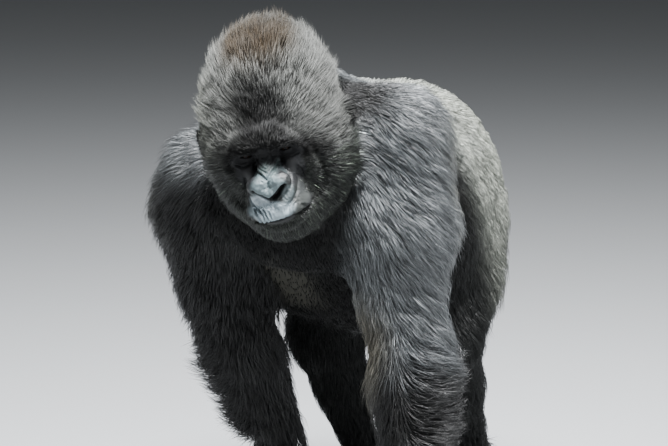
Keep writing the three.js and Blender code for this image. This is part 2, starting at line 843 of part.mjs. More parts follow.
const eyes = bothSides((side) => {
  const x = (side * EYE_APART) / 2;
  return { side, at: point(x, fleshFront(x, EYE_HEIGHT) - EYE_PROUD + EYE_RADIUS, EYE_HEIGHT) };
});
const eyeball = ({ at }, clearance = 0) => {
  const ball = new THREE.SphereGeometry(EYE_RADIUS + clearance, 12, 8);
  return solidInHead(ball.rotateX(Math.PI / 2).translate(at.x, at.y, at.z));
};

const earBox = (side) => [point(side * 112, 8, -35), point(side * 172, 68, 50)];
const ears = bothSides((side) => ({
  name: side > 0 ? "left" : "right",
  shell: shaped(ear({ side }), FEATURES, gridIn(earBox(side), 0)),
}));

pieces.face = less(
  kept(solidInHead(shaped(torsoInHead, FEATURES, gridIn(faceBox, 0))), faceRegion(0)),
  ...eyes.map((eye) => eyeball(eye, SEAT)),
);
pieces.head = less(
  kept(solidInHead(shaped(torsoInHead, HAIR, gridIn(headBox, 0))), headCut.after, neckCut.limb),
  faceRegion(CUT),
  ...ears.map(({ shell }) => solidInHead(grown(shell, SEAT))),
);
eyes.forEach((eye) => (pieces[`eye_${eye.side > 0 ? "left" : "right"}`] = eyeball(eye)));
ears.forEach(({ name, shell }) => (pieces[`ear_${name}`] = solidInHead(shell)));

// ---- The group ----

const COAT_BLACK = 0x1b1a1a;
const SADDLE_GREY = 0x4b4843;
const SKIN_BLACK = 0x2a2b2d;
const EYE_BROWN = 0x2b1509;
const NAIL_BLACK = 0x151414;

const LOOKS = [
  { names: /^(hand|foot|face|ear)/, color: SKIN_BLACK, roughness: 0.5 },
  { names: /^eye/, color: EYE_BROWN, roughness: 0.1 },
  { names: /nail/, color: NAIL_BLACK, roughness: 0.4 },
  { names: /^trunk/, color: SADDLE_GREY, roughness: 0.8 },
  { names: /./, color: COAT_BLACK, roughness: 0.8 },
];

function materialOf(name) {
  const { color, roughness } = LOOKS.find(({ names }) => names.test(name));
  return new THREE.MeshStandardMaterial({ color, roughness, metalness: 0 });
}

const gorilla = new THREE.Group();
for (const [name, solid] of Object.entries(pieces)) {
  const mesh = new THREE.Mesh(geometryOf(solid), materialOf(name));
  mesh.name = name;
  gorilla.add(mesh);
}
const box = new THREE.Box3().setFromObject(gorilla);
gorilla.position.set(-(box.min.x + box.max.x) / 2, -(box.min.y + box.max.y) / 2, 0);

export default gorilla;
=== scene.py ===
# %% [markdown]
# # A silverback gorilla, life size
# The solid model is already measured. Here it gets its looks: one skin without a seam, drawn
# inside the solid by the depth of the coat, a sculpted face, eyes, nails, and a coat of some 140,000 locks of
# hair. Lengths are in metres, except where a name or comment says millimetres. The gorilla faces -Y, its left
# is +X, and the floor is at height 0.

import math

import bpy
import numpy as np
from mathutils import Euler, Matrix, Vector
from mathutils.bvhtree import BVHTree


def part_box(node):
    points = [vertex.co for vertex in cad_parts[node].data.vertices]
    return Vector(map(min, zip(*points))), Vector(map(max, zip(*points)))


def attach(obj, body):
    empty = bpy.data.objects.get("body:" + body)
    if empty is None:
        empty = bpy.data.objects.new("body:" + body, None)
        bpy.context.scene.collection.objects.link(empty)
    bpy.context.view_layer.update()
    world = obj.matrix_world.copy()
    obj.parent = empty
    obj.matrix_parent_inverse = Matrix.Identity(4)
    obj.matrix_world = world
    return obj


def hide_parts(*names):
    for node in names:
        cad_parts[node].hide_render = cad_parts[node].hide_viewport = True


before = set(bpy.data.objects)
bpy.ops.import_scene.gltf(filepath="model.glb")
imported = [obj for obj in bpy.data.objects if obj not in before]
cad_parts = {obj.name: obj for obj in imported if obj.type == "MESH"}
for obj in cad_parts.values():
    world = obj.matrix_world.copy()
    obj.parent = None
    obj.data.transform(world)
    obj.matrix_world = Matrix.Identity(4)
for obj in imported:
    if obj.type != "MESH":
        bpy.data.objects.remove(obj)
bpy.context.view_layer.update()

# %% [markdown]
# Some sizes drive everything that follows. The head has a frame of its own, because it is tilted and turned:
# its origin lies between the ears at eye level, -Y is the way the face looks and +Z runs up to the crest.
# Everything on the head is described there, in millimetres.

# %% Sizes
MM = 0.001
rng = np.random.default_rng(7)

HEAD_AT = np.array([30.14, -427.70, 892.0]) * MM
HEAD_TURN = Euler([math.radians(a) for a in (17.0, -13.5, 9.4)], "XYZ").to_matrix()
HEAD_AXES = np.array(HEAD_TURN)
EYE_APART = 78.0
EYE_HEIGHT = 9.0
EYE_RADIUS = 13.0
LID = 1.6  # thickness of an eyelid

SKIN_CELL = 5 * MM
COAT_SHARE = 1.0

# %% [markdown]
# A few small helpers keep the rest short. Blender works with the selected object, so `only` selects one
# and nothing else. Colours are given as the sRGB hex codes that a paint chart or a web page shows, and one
# function turns them into the linear values that a renderer counts in.


# %% Helpers
def only(*objects):
    bpy.ops.object.select_all(action="DESELECT")
    for obj in objects:
        obj.select_set(True)
    bpy.context.view_layer.objects.active = objects[0]
    return objects[0]


def linear(code):
    channels = [int(code[i : i + 2], 16) / 255 for i in (1, 3, 5)]
    return [c / 12.92 if c <= 0.04045 else ((c + 0.055) / 1.055) ** 2.4 for c in channels]


def feed(made, **inputs):
    """Gives named inputs of a shader node a value or a link."""
    for key, value in inputs.items():
        socket = made.inputs[key.replace("_", " ")]
        if isinstance(value, bpy.types.NodeSocket):
            made.id_data.links.new(value, socket)
        else:
            socket.default_value = value


def node(tree, kind, settings=None, **inputs):
    """Adds a shader node, with its settings and with a value or a link for each named input."""
    made = tree.nodes.new("ShaderNode" + kind)
    for key, value in (settings or {}).items():
        setattr(made, key, value)
    feed(made, **inputs)
    return made


def read(items, field, width, kind=float):
    """One field of a mesh's items, as an array with a row for each item."""
    flat = np.empty(len(items) * width, dtype=kind)
    items.foreach_get(field, flat)
    return flat.reshape(-1, width)


def places(obj):
    return read(obj.data.vertices, "co", 3)


def place(obj, co):
    obj.data.vertices.foreach_set("co", np.ascontiguousarray(co, dtype=float).ravel())
    obj.data.update()


def normals(obj):
    return read(obj.data.vertices, "normal", 3)


def edges_of(obj):
    return read(obj.data.edges, "vertices", 2, np.int64)


def relax(values, edges, rounds, share=0.5, weight=None):
    """Moves each vertex's values towards the mean of its neighbours' values, some rounds over."""
    columns = values.reshape(len(values), -1).copy()
    a, b = edges.T
    count = np.maximum(np.bincount(edges.ravel(), minlength=len(values)), 1)[:, None]
    pull = share if weight is None else share * weight[:, None]
    for _ in range(rounds):
        sums = [np.bincount(a, c[b], len(values)) + np.bincount(b, c[a], len(values)) for c in columns.T]
        columns += (np.stack(sums, 1) / count - columns) * pull
    return columns.reshape(values.shape)


def ramp(low, high, x):
    """0 at low, 1 at high, and a smooth step in between. Low may be the larger of the two."""
    t = np.clip((x - low) / (high - low), 0, 1)
    return t * t * (3 - 2 * t)


def unit(v):
    return v / np.maximum(np.linalg.norm(v, axis=1, keepdims=True), 1e-9)


def near(p, centre, inner, outer):
    """1 within the inner distance of a centre, falling to 0 at the outer distance."""
    return ramp(outer, inner, np.linalg.norm(p - np.array(centre), axis=1))


def to_head(p):
    return (p - HEAD_AT) @ HEAD_AXES / MM


def from_head(q):
    return q * MM @ HEAD_AXES.T + HEAD_AT


def oval(q, across, up, half_across, half_up, pair=True):
    """Below 1 inside an oval on the head, and as a pair also inside its mirror image."""
    sideways = np.abs(q[:, 0]) if pair else q[:, 0]
    return np.hypot((sideways - across) / half_across, (q[:, 2] - up) / half_up)


def bareness(q):
    """1 on the bare skin of the face, falling to 0 where the hair begins."""
    muzzle = oval(q, 0, -72, 58, 44)
    eyes = oval(q, 30, 0, 42, 22)
    bridge = oval(q, 0, -8, 22, 34)
    bags = oval(q, 36, -30, 30, 28)
    lip_corner = oval(q, 44, -92, 22, 16)
    nearest = np.minimum.reduce([muzzle, eyes, bridge, bags, lip_corner])
    return ramp(1.1, 0.9, nearest) * (q[:, 1] < -50)


def ripple(p, size, seed):
    """A smooth random value between about -1 and 1 that changes over the given size."""
    waves = np.random.default_rng(seed)
    total = np.zeros(len(p))
    for _ in range(5):
        direction = unit(waves.normal(size=(1, 3)))[0]
        pace, start = waves.uniform(0.7, 1.4), waves.uniform(0, 6.28)
        total += np.sin(p @ direction * (2 * math.pi / size) * pace + start)
    return total / 2.2


# %% [markdown]
# ## The skin
# A real gorilla's skin has no seams, but the solid model is divided into head, arms and so on. Copies of all
# those pieces are joined and a voxel remesh pours them into one closed surface of even squares. The cuts
# between the pieces are much thinner than a voxel, so they vanish. The eyes go into the mix too, which
# closes the eye sockets with a bulge that the lids are cut into later.

# %% Pour the pieces into one surface
names = list(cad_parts)
FLESH = [n for n in names if not n.startswith(("eye", "fingernail", "toenail"))]
NAILS = [n for n in names if n.startswith(("fingernail", "toenail"))]
EYES = ["eye_left", "eye_right"]
PARTS = sorted({n.replace("_left", "").replace("_right", "") for n in FLESH})


def copy_of(name):
    piece = bpy.data.objects.new(name + "_copy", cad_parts[name].data.copy())
    bpy.context.scene.collection.objects.link(piece)
    return piece


copies = []
for name in FLESH + EYES:
    piece = copy_of(name)
    part = "face" if name in EYES else name.replace("_left", "").replace("_right", "")
    tag = piece.data.attributes.new("part", "INT", "FACE")
    tag.data.foreach_set("value", [PARTS.index(part)] * len(piece.data.polygons))
    copies.append(piece)
skin = only(*copies)
bpy.ops.object.join()
skin.name = "skin"
corners = places(skin)
solid_faces = [tuple(p.vertices) for p in skin.data.polygons]
solid_tree = BVHTree.FromPolygons([Vector(c) for c in corners], solid_faces)
solid_part = read(skin.data.attributes["part"].data, "value", 1, np.int64)[:, 0]

skin.data.materials.clear()
skin.data.remesh_voxel_size = SKIN_CELL
bpy.ops.object.voxel_remesh()
bpy.ops.object.mode_set(mode="EDIT")
bpy.ops.mesh.select_all(action="SELECT")
bpy.ops.mesh.separate(type="LOOSE")
bpy.ops.object.mode_set(mode="OBJECT")
shells = sorted(bpy.context.selected_objects, key=lambda o: len(o.data.vertices))
skin = shells.pop()
if shells:
    only(*shells)
    bpy.ops.object.delete()
only(skin)
print("skin:", len(skin.data.vertices), "vertices,", len(shells), "inner shells removed")

# %% [markdown]
# The solid has broad flat facets, which the coat would hide but the bare skin wouldn't. Relaxing the
# surface rounds them off: many rounds under the coat, and only a few on face, ears, hands and feet, so
# that these keep their shape. Each vertex belongs to the part of the body whose solid is nearest. Far from
# the bare skin, the mesh is then thinned out.


# %% Round off the facets
def parts_at(co):
    return np.array([solid_part[solid_tree.find_nearest(Vector(c))[2]] for c in co])


def is_part(part, *wanted):
    return np.isin(part, [PARTS.index(w) for w in wanted])


def edit_skin(kind, mask, tool, **settings):
    """Runs one editing tool on the vertices or faces that the mask picks out."""
    bpy.ops.object.mode_set(mode="EDIT")
    bpy.ops.mesh.select_mode(type=kind)
    bpy.ops.mesh.select_all(action="DESELECT")
    bpy.ops.object.mode_set(mode="OBJECT")
    items = skin.data.vertices if kind == "VERT" else skin.data.polygons
    items.foreach_set("select", mask)
    bpy.ops.object.mode_set(mode="EDIT")
    tool(**settings)
    bpy.ops.object.mode_set(mode="OBJECT")


BARE_HAND_TOP, BARE_FOOT_TOP = 0.14, 0.08
KEPT_UNDER_COAT = 0.45  # of the faces
part = parts_at(places(skin))
edges = edges_of(skin)
z = places(skin)[:, 2]
bare = is_part(part, "face", "ear")
bare |= is_part(part, "hand") & (z < BARE_HAND_TOP)
bare |= is_part(part, "foot") & (z < BARE_FOOT_TOP)
soft_bare = relax(bare.astype(float), edges, 12)
co = relax(places(skin), edges, 60, weight=1 - ramp(0.1, 0.6, soft_bare))
co = relax(co, edges, 4)
place(skin, co)

edit_skin("VERT", soft_bare < 0.02, bpy.ops.mesh.decimate, ratio=KEPT_UNDER_COAT)
print("skin after thinning out under the coat:", len(skin.data.polygons), "faces")

# %% [markdown]
# The face needs a much finer mesh than the back. Its faces are picked out by their place in the head's
# frame and each of their sides is cut in four, on hands, feet and ears in two.


# %% Finer squares where the skin is bare
def divide(mask, cuts):
    edit_skin("FACE", mask, bpy.ops.mesh.subdivide, number_cuts=cuts)


def face_middles():
    return read(skin.data.polygons, "center", 3)


def face_shell(q):
    """Below 1 inside the oval of the face, and far above 1 on the back of the head."""
    return oval(q, 0, -36, 86, 104) + 5 * (q[:, 1] > -40)


divide(face_shell(to_head(face_middles())) < 1, 3)
divide(is_part(parts_at(face_middles()), "hand", "foot", "ear"), 1)
edges = edges_of(skin)
part = parts_at(places(skin))
print("skin with fine face, hands and feet:", len(skin.data.polygons), "faces")

# %% [markdown]
# How long is the hair in each place, and how dense? A silverback's longest hair is on its forearms and
# hangs over the wrists. On the back it is shorter, on the chest shorter still and thin in one patch, and
# the middle of the face, palms, fingers, soles and toes have none. The lengths are set part by part and
# then relaxed over the surface, so that one runs into the next. The skin is then drawn in by the depth of
# the coat: hair that lies at a slant stands off the skin by about a third of its length.

# %% Lengths and density of the coat
HAIR = {  # length in millimetres, locks on each square metre, width of a lock in millimetres
    "trunk": (50, 42000, 1.9),
    "neck": (52, 75000, 1.6),
    "head": (46, 115000, 1.1),
    "upper_arm": (64, 71000, 1.35),
    "forearm": (72, 58000, 1.55),
    "thigh": (56, 40000, 1.8),
    "shank": (48, 44000, 1.8),
    "hand": (16, 62000, 1.3),
    "foot": (13, 60000, 1.4),
    "face": (20, 330000, 0.8),
    "ear": (12, 90000, 1.1),
}
LENGTH, DENSITY, WIDTH = np.array([HAIR[name] for name in PARTS]).T
COAT_DEPTH = 0.3  # of the hair's length
CHIN_HAIR, LIP_HAIR, CHEEK_HAIR, BROW_HAIR = 20, 9, 18, 20  # millimetres
WRIST_HAIR, ANKLE_HAIR = 46, 34  # added to the length on hand and foot
TOE_LENGTH = 0.07

co = places(skin)
nor = normals(skin)
q = to_head(co)
x, y, z = co.T
hx, hy, hz = q.T  # across, depth and height in the head's frame, in millimetres
length, density = LENGTH[part], DENSITY[part]

on_head = is_part(part, "head")
front = ramp(-30, -100, hy) * ramp(-70, 10, hz)  # forehead and brow
length = np.where(on_head, length * (1 - 0.5 * front), length)
length = np.where(on_head & (hz < -95), CHIN_HAIR, length)
on_face = is_part(part, "face")
skinny = bareness(q)
brow_hair = BROW_HAIR + 14 * ramp(36, 54, hz)  # the top of the brow's hair runs into the forehead's
face_hair = np.where(hz > 20, brow_hair, np.where(hz < -112, LIP_HAIR, CHEEK_HAIR))
length = np.where(on_face, face_hair, length)
density = np.where(on_head | on_face, density * (1 - skinny), density)

body = is_part(part, "trunk", "neck")
saddle = is_part(part, "trunk") * ramp(0.2, 0.7, nor[:, 2]) * ramp(-0.15, 0.05, y)
chest = body * ramp(-0.2, -0.7, nor[:, 1]) * ramp(0.82, 0.7, z)
belly = body * ramp(0.1, -0.5, nor[:, 1]) * ramp(0.66, 0.6, z) * ramp(0.46, 0.52, z)
bare_chest = relax(belly * ramp(0.09, 0.03, np.abs(x + 0.07)), edges, 14)
# The hollow between head and shoulder: its hair is shorter, and it is painted black as painted shade.
behind_ear = np.maximum(near(co, (0.14, -0.27, 0.96), 0.04, 0.11), near(co, (0.17, -0.39, 0.84), 0.03, 0.065))
behind_ear = behind_ear * (on_head == 0)
length = length * (1 - 0.3 * saddle) * (1 - 0.5 * chest) * (1 - 0.5 * bare_chest) * (1 - 0.5 * behind_ear)
density = density * (1 - 0.75 * bare_chest)

hand, foot = is_part(part, "hand"), is_part(part, "foot")
length = length + WRIST_HAIR * hand * ramp(0.1, 0.19, z) + ANKLE_HAIR * foot * ramp(0.05, 0.115, z)
toe_line = np.where(x > 0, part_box("foot_left")[0][1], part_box("foot_right")[0][1]) + TOE_LENGTH
furry = np.ones(len(co))  # 0 on palms, fingers, soles and toes
furry[hand] = (ramp(0.075, 0.12, z) * ramp(0.8, 0.4, nor[:, 1] + 4 * (0.11 - z)))[hand]
furry[foot] = (ramp(0.025, 0.045, z) * ramp(0.0, 0.03, y - toe_line))[foot]
density = density * furry
length = relax(length, edges, 25)
density = relax(density, edges, 8)
length = np.where(skinny > 0, np.minimum(length, 4 + 16 * (1 - skinny)), length)
inset = length * relax(np.where(hand | foot, furry, 1.0), edges, 6)

STEPS = 4
for _ in range(STEPS):
    co = places(skin) - normals(skin) * (inset * COAT_DEPTH * MM / STEPS)[:, None]
    place(skin, relax(co, edges, 1, weight=ramp(4, 20, length)))
co = places(skin)
co[:, 2] -= co[:, 2].min() * ramp(0.06, 0.01, co[:, 2])  # soles and knuckles stay on the floor
place(skin, co)
print("coat length from", round(length.min(), 1), "to", round(length.max(), 1), "mm")

# %% [markdown]
# ## The face
# A gorilla's face is a few big soft masses: the brow ridge, the muzzle, two rounded wings that almost close
# round the nostrils, and two lips. Each is written down as a distance field: a function that is negative
# inside the mass and positive outside. Fields melt into each other softly, and the fine skin of the face is
# then moved on to the result.


# %% Fields of the face, in millimetres in the head's frame
def round_cone(a, b, radius_a, radius_b=None):
    a, b = np.array(a, dtype=float), np.array(b, dtype=float)
    radius_b = radius_a if radius_b is None else radius_b

    def field(p):
        t = np.clip((p - a) @ (b - a) / ((b - a) @ (b - a)), 0, 1)
        return np.linalg.norm(p - a - t[:, None] * (b - a), axis=1) - (radius_a + (radius_b - radius_a) * t)

    return field


def ellipsoid(centre, radii):
    centre, radii = np.array(centre, dtype=float), np.array(radii, dtype=float)

    def field(p):
        scaled = (p - centre) / radii
        size = np.linalg.norm(scaled, axis=1)
        steep = np.linalg.norm(scaled / radii, axis=1)
        return size * (size - 1) / np.maximum(steep, 1e-6)

    return field


def soft(a, b, width):
    """The smaller of two distances, rounded off where they are closer to each other than the width."""
    overlap = np.maximum(width - np.abs(a - b), 0) / width
    return np.minimum(a, b) - overlap * overlap * width / 4


def join(width, *fields):
    """One mass out of several, with soft seams of the given width."""

    def field(p):
        total = fields[0](p)
        for other in fields[1:]:
            total = soft(total, other(p), width)
        return total

    return field


def hollow(width, base, *pits):
    """A mass with pits sunk into it."""

    def field(p):
        total = base(p)
        for pit in pits:
            total = -soft(-total, pit(p), width)
        return total

    return field


def both(make):
    return [make(1), make(-1)]


def eye_centre(name):
    low, high = (np.array(c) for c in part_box(name))
    return to_head(((low + high) / 2)[None])[0]


eye_at = {name: eye_centre(name) for name in EYES}
print("eyes in the head's frame:", {k: v.round(1).tolist() for k, v in eye_at.items()})

dome = join(
    50,
    ellipsoid((0, 30, 40), (112, 120, 102)),
    *both(lambda s: ellipsoid((s * 78, -2, 14), (58, 84, 78))),
    *both(lambda s: ellipsoid((s * 76, 2, -52), (66, 79, 81))),
    *both(lambda s: round_cone((s * 62, 14, -122), (s * 28, -78, -138), 50, 38)),
    ellipsoid((0, -86, -138), (52, 46, 40)),
)
brow = join(
    14,
    round_cone((-30, -104, 36), (30, -104, 36), 20),
    *both(lambda s: round_cone((s * 30, -104, 36), (s * 82, -66, 20), 20, 22)),
)
muzzle = join(
    20,
    ellipsoid((0, -100, -80), (56, 58, 56)),
    round_cone((0, -92, 8), (0, -128, -32), 17, 21),
)
nose = join(
    8,
    *both(lambda s: ellipsoid((s * 19, -141, -38), (18, 17, 17))),
    ellipsoid((0, -148, -50), (15, 12, 15)),
)
lips = join(
    8,
    round_cone((-42, -120, -94), (42, -120, -94), 22),
    ellipsoid((0, -139, -93), (46, 29, 20)),
)
lower_lip = join(
    6,
    round_cone((-34, -116, -126), (34, -116, -126), 14),
    ellipsoid((0, -120, -134), (40, 22, 20)),
)
lids = [ellipsoid(at, [EYE_RADIUS + LID] * 3) for at in eye_at.values()]
cheekbones = both(lambda s: round_cone((s * 44, -92, -22), (s * 70, -70, -34), 15, 16))

sockets = both(lambda s: ellipsoid((s * EYE_APART / 2, -116, EYE_HEIGHT - 3), (26, 20, 15)))
face_field = hollow(8, join(24, dome, join(16, brow, muzzle, *cheekbones)), *sockets)
face_field = join(5, join(9, join(8, face_field, lower_lip), nose, lips), *lids)


def slope(field, p, reach=0.4):
    base = field(p)
    steps = np.eye(3) * reach
    return base, np.stack([(field(p + s) - base) / reach for s in steps], axis=1)


def onto(field, p, rounds, most=4.0):
    """Moves points along the field's slope until they lie on its surface, by small steps."""
    for _ in range(rounds):
        value, steepness = slope(field, p)
        step = value / np.maximum((steepness**2).sum(1), 0.25)
        p = p - steepness * np.clip(step, -most, most)[:, None]
    return p


# %% [markdown]
# The face's vertices move on to that field, fading out towards the hair. A few rounds of relaxing within the
# surface keep the squares even.

# %% Move the skin of the face on to its field
co = places(skin)
q = to_head(co)
shell = face_shell(q)
grip = ramp(1.0, 0.86, shell)
held = np.flatnonzero(grip > 0)
index = np.full(len(co), -1)
index[held] = np.arange(len(held))
face_edges = index[edges[(grip[edges] > 0).all(1)]]
fade = grip[held][:, None]
for rounds in (8, 4, 3):
    here = to_head(places(skin)[held])
    target = onto(face_field, here, rounds)
    moved = here + (target - here) * fade
    if rounds > 3:
        moved = relax(moved, face_edges, 2, weight=grip[held])
    co[held] = from_head(moved)
    place(skin, co)
print("face vertices:", len(held))

# %% [markdown]
# The finer forms are drawn on the face as lines, given by their places across and up in millimetres. A
# rounded ridge along a line makes the thick wing round each nostril, a steep groove makes the nostril and
# the mouth. A fold sinks along its line and swells a little on both sides of it, as a real fold does. Most
# lines come in pairs, but no face is quite even: the lips are creased more deeply on the right, where the
# nostril is narrower too. Where the skin ends up stretched, its squares are evened out.


# %% Nostrils, wings, mouth, folds and wrinkles
def distance_to_line(flat, line):
    best = np.full(len(flat), 1e9)
    for a, b in zip(np.array(line[:-1], float), np.array(line[1:], float)):
        t = np.clip((flat - a) @ (b - a) / ((b - a) @ (b - a)), 0, 1)
        best = np.minimum(best, np.linalg.norm(flat - a - t[:, None] * (b - a), axis=1))
    return best


def mirrored(line):
    """The same line on the other half of the face."""
    return [(-across, up) for across, up in line]


def paired(lines):
    """Lines with their measures, and their mirror images with the same measures."""
    return lines + [(mirrored(line), *measures) for line, *measures in lines]


def ridge(flat, line, height, half):
    return height * np.clip(1 - (distance_to_line(flat, line) / half) ** 2, 0, 1) ** 0.8


def groove(flat, line, depth, half, wall=1.4):
    return -depth * ramp(half + wall, half - wall, distance_to_line(flat, line))


def fold(flat, line, depth, half):
    away = distance_to_line(flat, line)
    return -depth * (np.exp(-((away / half) ** 2)) - 0.35 * np.exp(-(((away - 2.1 * half) / half) ** 2)))


NOSTRIL = [(4, -61), (12, -57), (20, -51), (26, -46)]
NOSTRIL_END = [(26, -46), (31, -42)]
WING = [(29, -27), (37, -33), (40, -44), (39, -55), (35, -64), (26, -71), (14, -77)]
RIDGES = [  # line, height, half width, in pairs
    (WING[:2], 4.5, 9.5),
    (WING[1:4], 6.5, 9.0),
    ([(8, -31), (15, -28), (24, -29), (30, -34)], 4.5, 9.5),
    ([(17, -2), (29, -8), (46, -10), (60, -9)], 1.8, 3.5),
    ([(0, -54), (10, -47), (22, -38)], 5.0, 9.0),
]
SIDE_RIDGES = [  # under the right nostril the wing is flatter than under the left one
    (WING[3:], 6.5, 9.0),
    (mirrored(WING[3:]), 3.0, 9.0),
]
PAIRED_FOLDS = [  # line, depth, half width
    ([(19, -8), (29, -15), (44, -20), (54, -33), (57, -50)], 3.2, 2.4),
    ([(18, -5), (30, -8), (47, -9), (62, -6)], 2.2, 1.7),
    ([(46, -30), (56, -36), (66, -36)], 2.0, 2.0),
    ([(45, -44), (48, -57), (45, -68), (38, -76), (30, -82), (21, -89)], 2.6, 2.4),
    ([(20, 22), (36, 25), (54, 20), (64, 10)], 2.2, 2.2),
    ([(24, 19), (38, 21), (52, 16)], 1.2, 1.4),
    ([(8, 16), (13, 6), (18, 0)], 1.6, 1.7),
    ([(50, -94), (58, -102), (62, -112)], 2.0, 2.4),
    ([(39, -84), (34, -94), (30, -104)], 2.0, 1.5),
    ([(18, -84), (17, -94), (16, -104)], 1.2, 1.3),
]
SIDE_FOLDS = [  # the same, but each stands alone
    ([(-22, -14), (-11, -17), (-4, -22), (1, -26), (6, -22), (12, -16), (22, -13)], 3.2, 2.0),
    ([(-9, -27), (1, -31), (11, -27)], 1.2, 1.6),
    ([(-13, -9), (-5, -12), (1, -17), (8, -13), (15, -8)], 1.4, 1.5),
    ([(-11, -3), (-2, -9), (10, -4)], 1.0, 1.4),
    ([(-9, 4), (2, -2), (12, 4)], 0.9, 1.4),
    ([(-6, 10), (1, 5), (8, 11)], 0.8, 1.3),
    ([(-7, -6), (-12, 4), (-11, 14)], 0.8, 1.3),
    ([(9, -7), (13, 3), (12, 13)], 0.8, 1.3),
    ([(-64, -4), (-52, -9), (-40, -8), (-28, -4)], 2.0, 1.6),
    ([(-68, -31), (-53, -33), (-39, -30)], 2.0, 1.6),
    ([(-41, -80), (-35, -93), (-29, -104)], 5.0, 1.6),
    ([(-31, -78), (-25, -92), (-20, -104)], 5.0, 1.6),
    ([(-21, -80), (-16, -94), (-12, -104)], 4.6, 1.5),
    ([(-11, -84), (-8, -102)], 3.4, 1.4),
    ([(28, -84), (25, -96)], 1.6, 1.4),
    ([(-4, -66), (1, -70), (8, -65)], 1.6, 1.4),
    ([(1, -74), (1, -86)], 1.0, 1.8),
]
MOUTH = [(-62, -112), (-40, -110), (-20, -108), (0, -107), (20, -106), (42, -106), (62, -105)]
UPPER_LIP = [(across, up + 7) for across, up in MOUTH[1:-1]]
LOWER_LIP = [(across, up - 7) for across, up in MOUTH[1:-1]]

here = to_head(places(skin)[held])
flat = here[:, [0, 2]]
wander = np.stack([ripple(here, 24, 3), ripple(here, 24, 4)], 1) * 0.8
rise = np.zeros(len(held))
for line, height, half in paired(RIDGES) + SIDE_RIDGES:
    rise = np.maximum(rise, ridge(flat, line, height, half))
rise = relax(rise, face_edges, 7)
for line, depth, half in paired(PAIRED_FOLDS):
    rise += fold(flat + wander, line, depth, half)
for line, depth, half in SIDE_FOLDS:
    rise += fold(flat + wander * 0.5, line, depth, half)
rise += ridge(flat, UPPER_LIP, 3.0, 7.0) + ridge(flat, LOWER_LIP, 2.0, 6.0)
rise -= 2.5 * ramp(7, 0, np.hypot(flat[:, 0] - 1, flat[:, 1] + 34))  # a dimple between the nose's two lobes
pits = groove(flat, NOSTRIL, 16, 4.6, 1.8) + groove(flat, mirrored(NOSTRIL), 9, 2.8, 1.4)
for line in (NOSTRIL_END, mirrored(NOSTRIL_END)):
    pits = np.minimum(pits, groove(flat, line, 8, 3.2, 1.8))
pits += groove(flat, MOUTH, 9, 2.6)
rise = relax(rise, face_edges, 1) + pits
# How deep each vertex lies in a nostril or the mouth, later also the share of painted shade there.
in_pit = np.zeros(len(places(skin)))
in_pit[held] = ramp(1, 6, -pits)
uneven = 0.25 * ripple(here, 5, 5) + 0.3 * ripple(here, 9, 6)
rise += uneven * ramp(0.9, 0.5, shell[held])
outwards = unit(relax(normals(skin)[held], face_edges, 20)) @ HEAD_AXES
outwards = unit(outwards * np.array([0.35, 1.0, 0.7]))  # mostly forwards, so that nothing flares sideways
raised = here + outwards * (rise * grip[held])[:, None]


def edge_lengths(points):
    return np.linalg.norm(points[face_edges[:, 0]] - points[face_edges[:, 1]], axis=1)


stretch = edge_lengths(raised) / np.maximum(edge_lengths(here), 0.2)
stretched = np.zeros(len(held))
np.maximum.at(stretched, face_edges.ravel(), np.repeat(stretch, 2))
even_out = ramp(1.6, 3.0, relax(stretched, face_edges, 2)) * (1 - 0.8 * in_pit[held])
raised = relax(raised, face_edges, 6, weight=even_out)
co = places(skin)
co[held] = from_head(raised)
print("stretched vertices evened out:", int((even_out > 0.5).sum()))
print("folds:", len(PAIRED_FOLDS) * 2 + len(SIDE_FOLDS))

# %% [markdown]
# The eyelids open along an almond shape. Inside it the skin steps back behind the eyeball, and round it
# the lids have a thicker edge.

# %% Eyelids
EYE_HALF_WIDTH, EYE_HALF_HEIGHT = 12.0, 3.0
EYE_SLANT = 0.08  # the opening rises by this share towards its outer corner
LID_DROP = 0.6  # the opening lies below the middle of the ball
BEHIND_BALL = 8  # how far the skin steps back
LID_EDGE = 0.9  # how far the edge of the lids stands out
here = to_head(co[held])
for name, at in eye_at.items():
    out = np.sign(at[0]) * (here[:, 0] - at[0])
    up = here[:, 2] - at[2] - EYE_SLANT * out
    opening = EYE_HALF_HEIGHT * np.sqrt(np.clip(1 - (out / EYE_HALF_WIDTH) ** 2, 0, 1))
    from_middle = np.abs(up + LID_DROP)
    inside = (from_middle < opening) & (here[:, 1] < at[1])
    here[inside, 1] += BEHIND_BALL
    rim = ramp(3.4, 1.0, np.abs(from_middle - opening)) * (np.abs(out) < EYE_HALF_WIDTH + 1) * ~inside
    here[:, 1] -= LID_EDGE * rim * (here[:, 1] < at[1])
co[held] = from_head(here)
place(skin, co)
skin.data.shade_smooth()

# %% [markdown]
# The skin's map unwraps its own shape into flat patches. Every lock of hair later takes the spot of its root
# on this map, so that a texture baked from the coat knows where on the body each lock grows.

# %% Unwrap
only(skin)
while skin.data.uv_layers:
    skin.data.uv_layers.remove(skin.data.uv_layers[0])
skin.data.uv_layers.new(name="Body")
bpy.ops.object.mode_set(mode="EDIT")
bpy.ops.mesh.select_all(action="SELECT")
bpy.ops.uv.smart_project(angle_limit=math.radians(70), island_margin=0.003)
bpy.ops.object.mode_set(mode="OBJECT")
print("unwrapped")
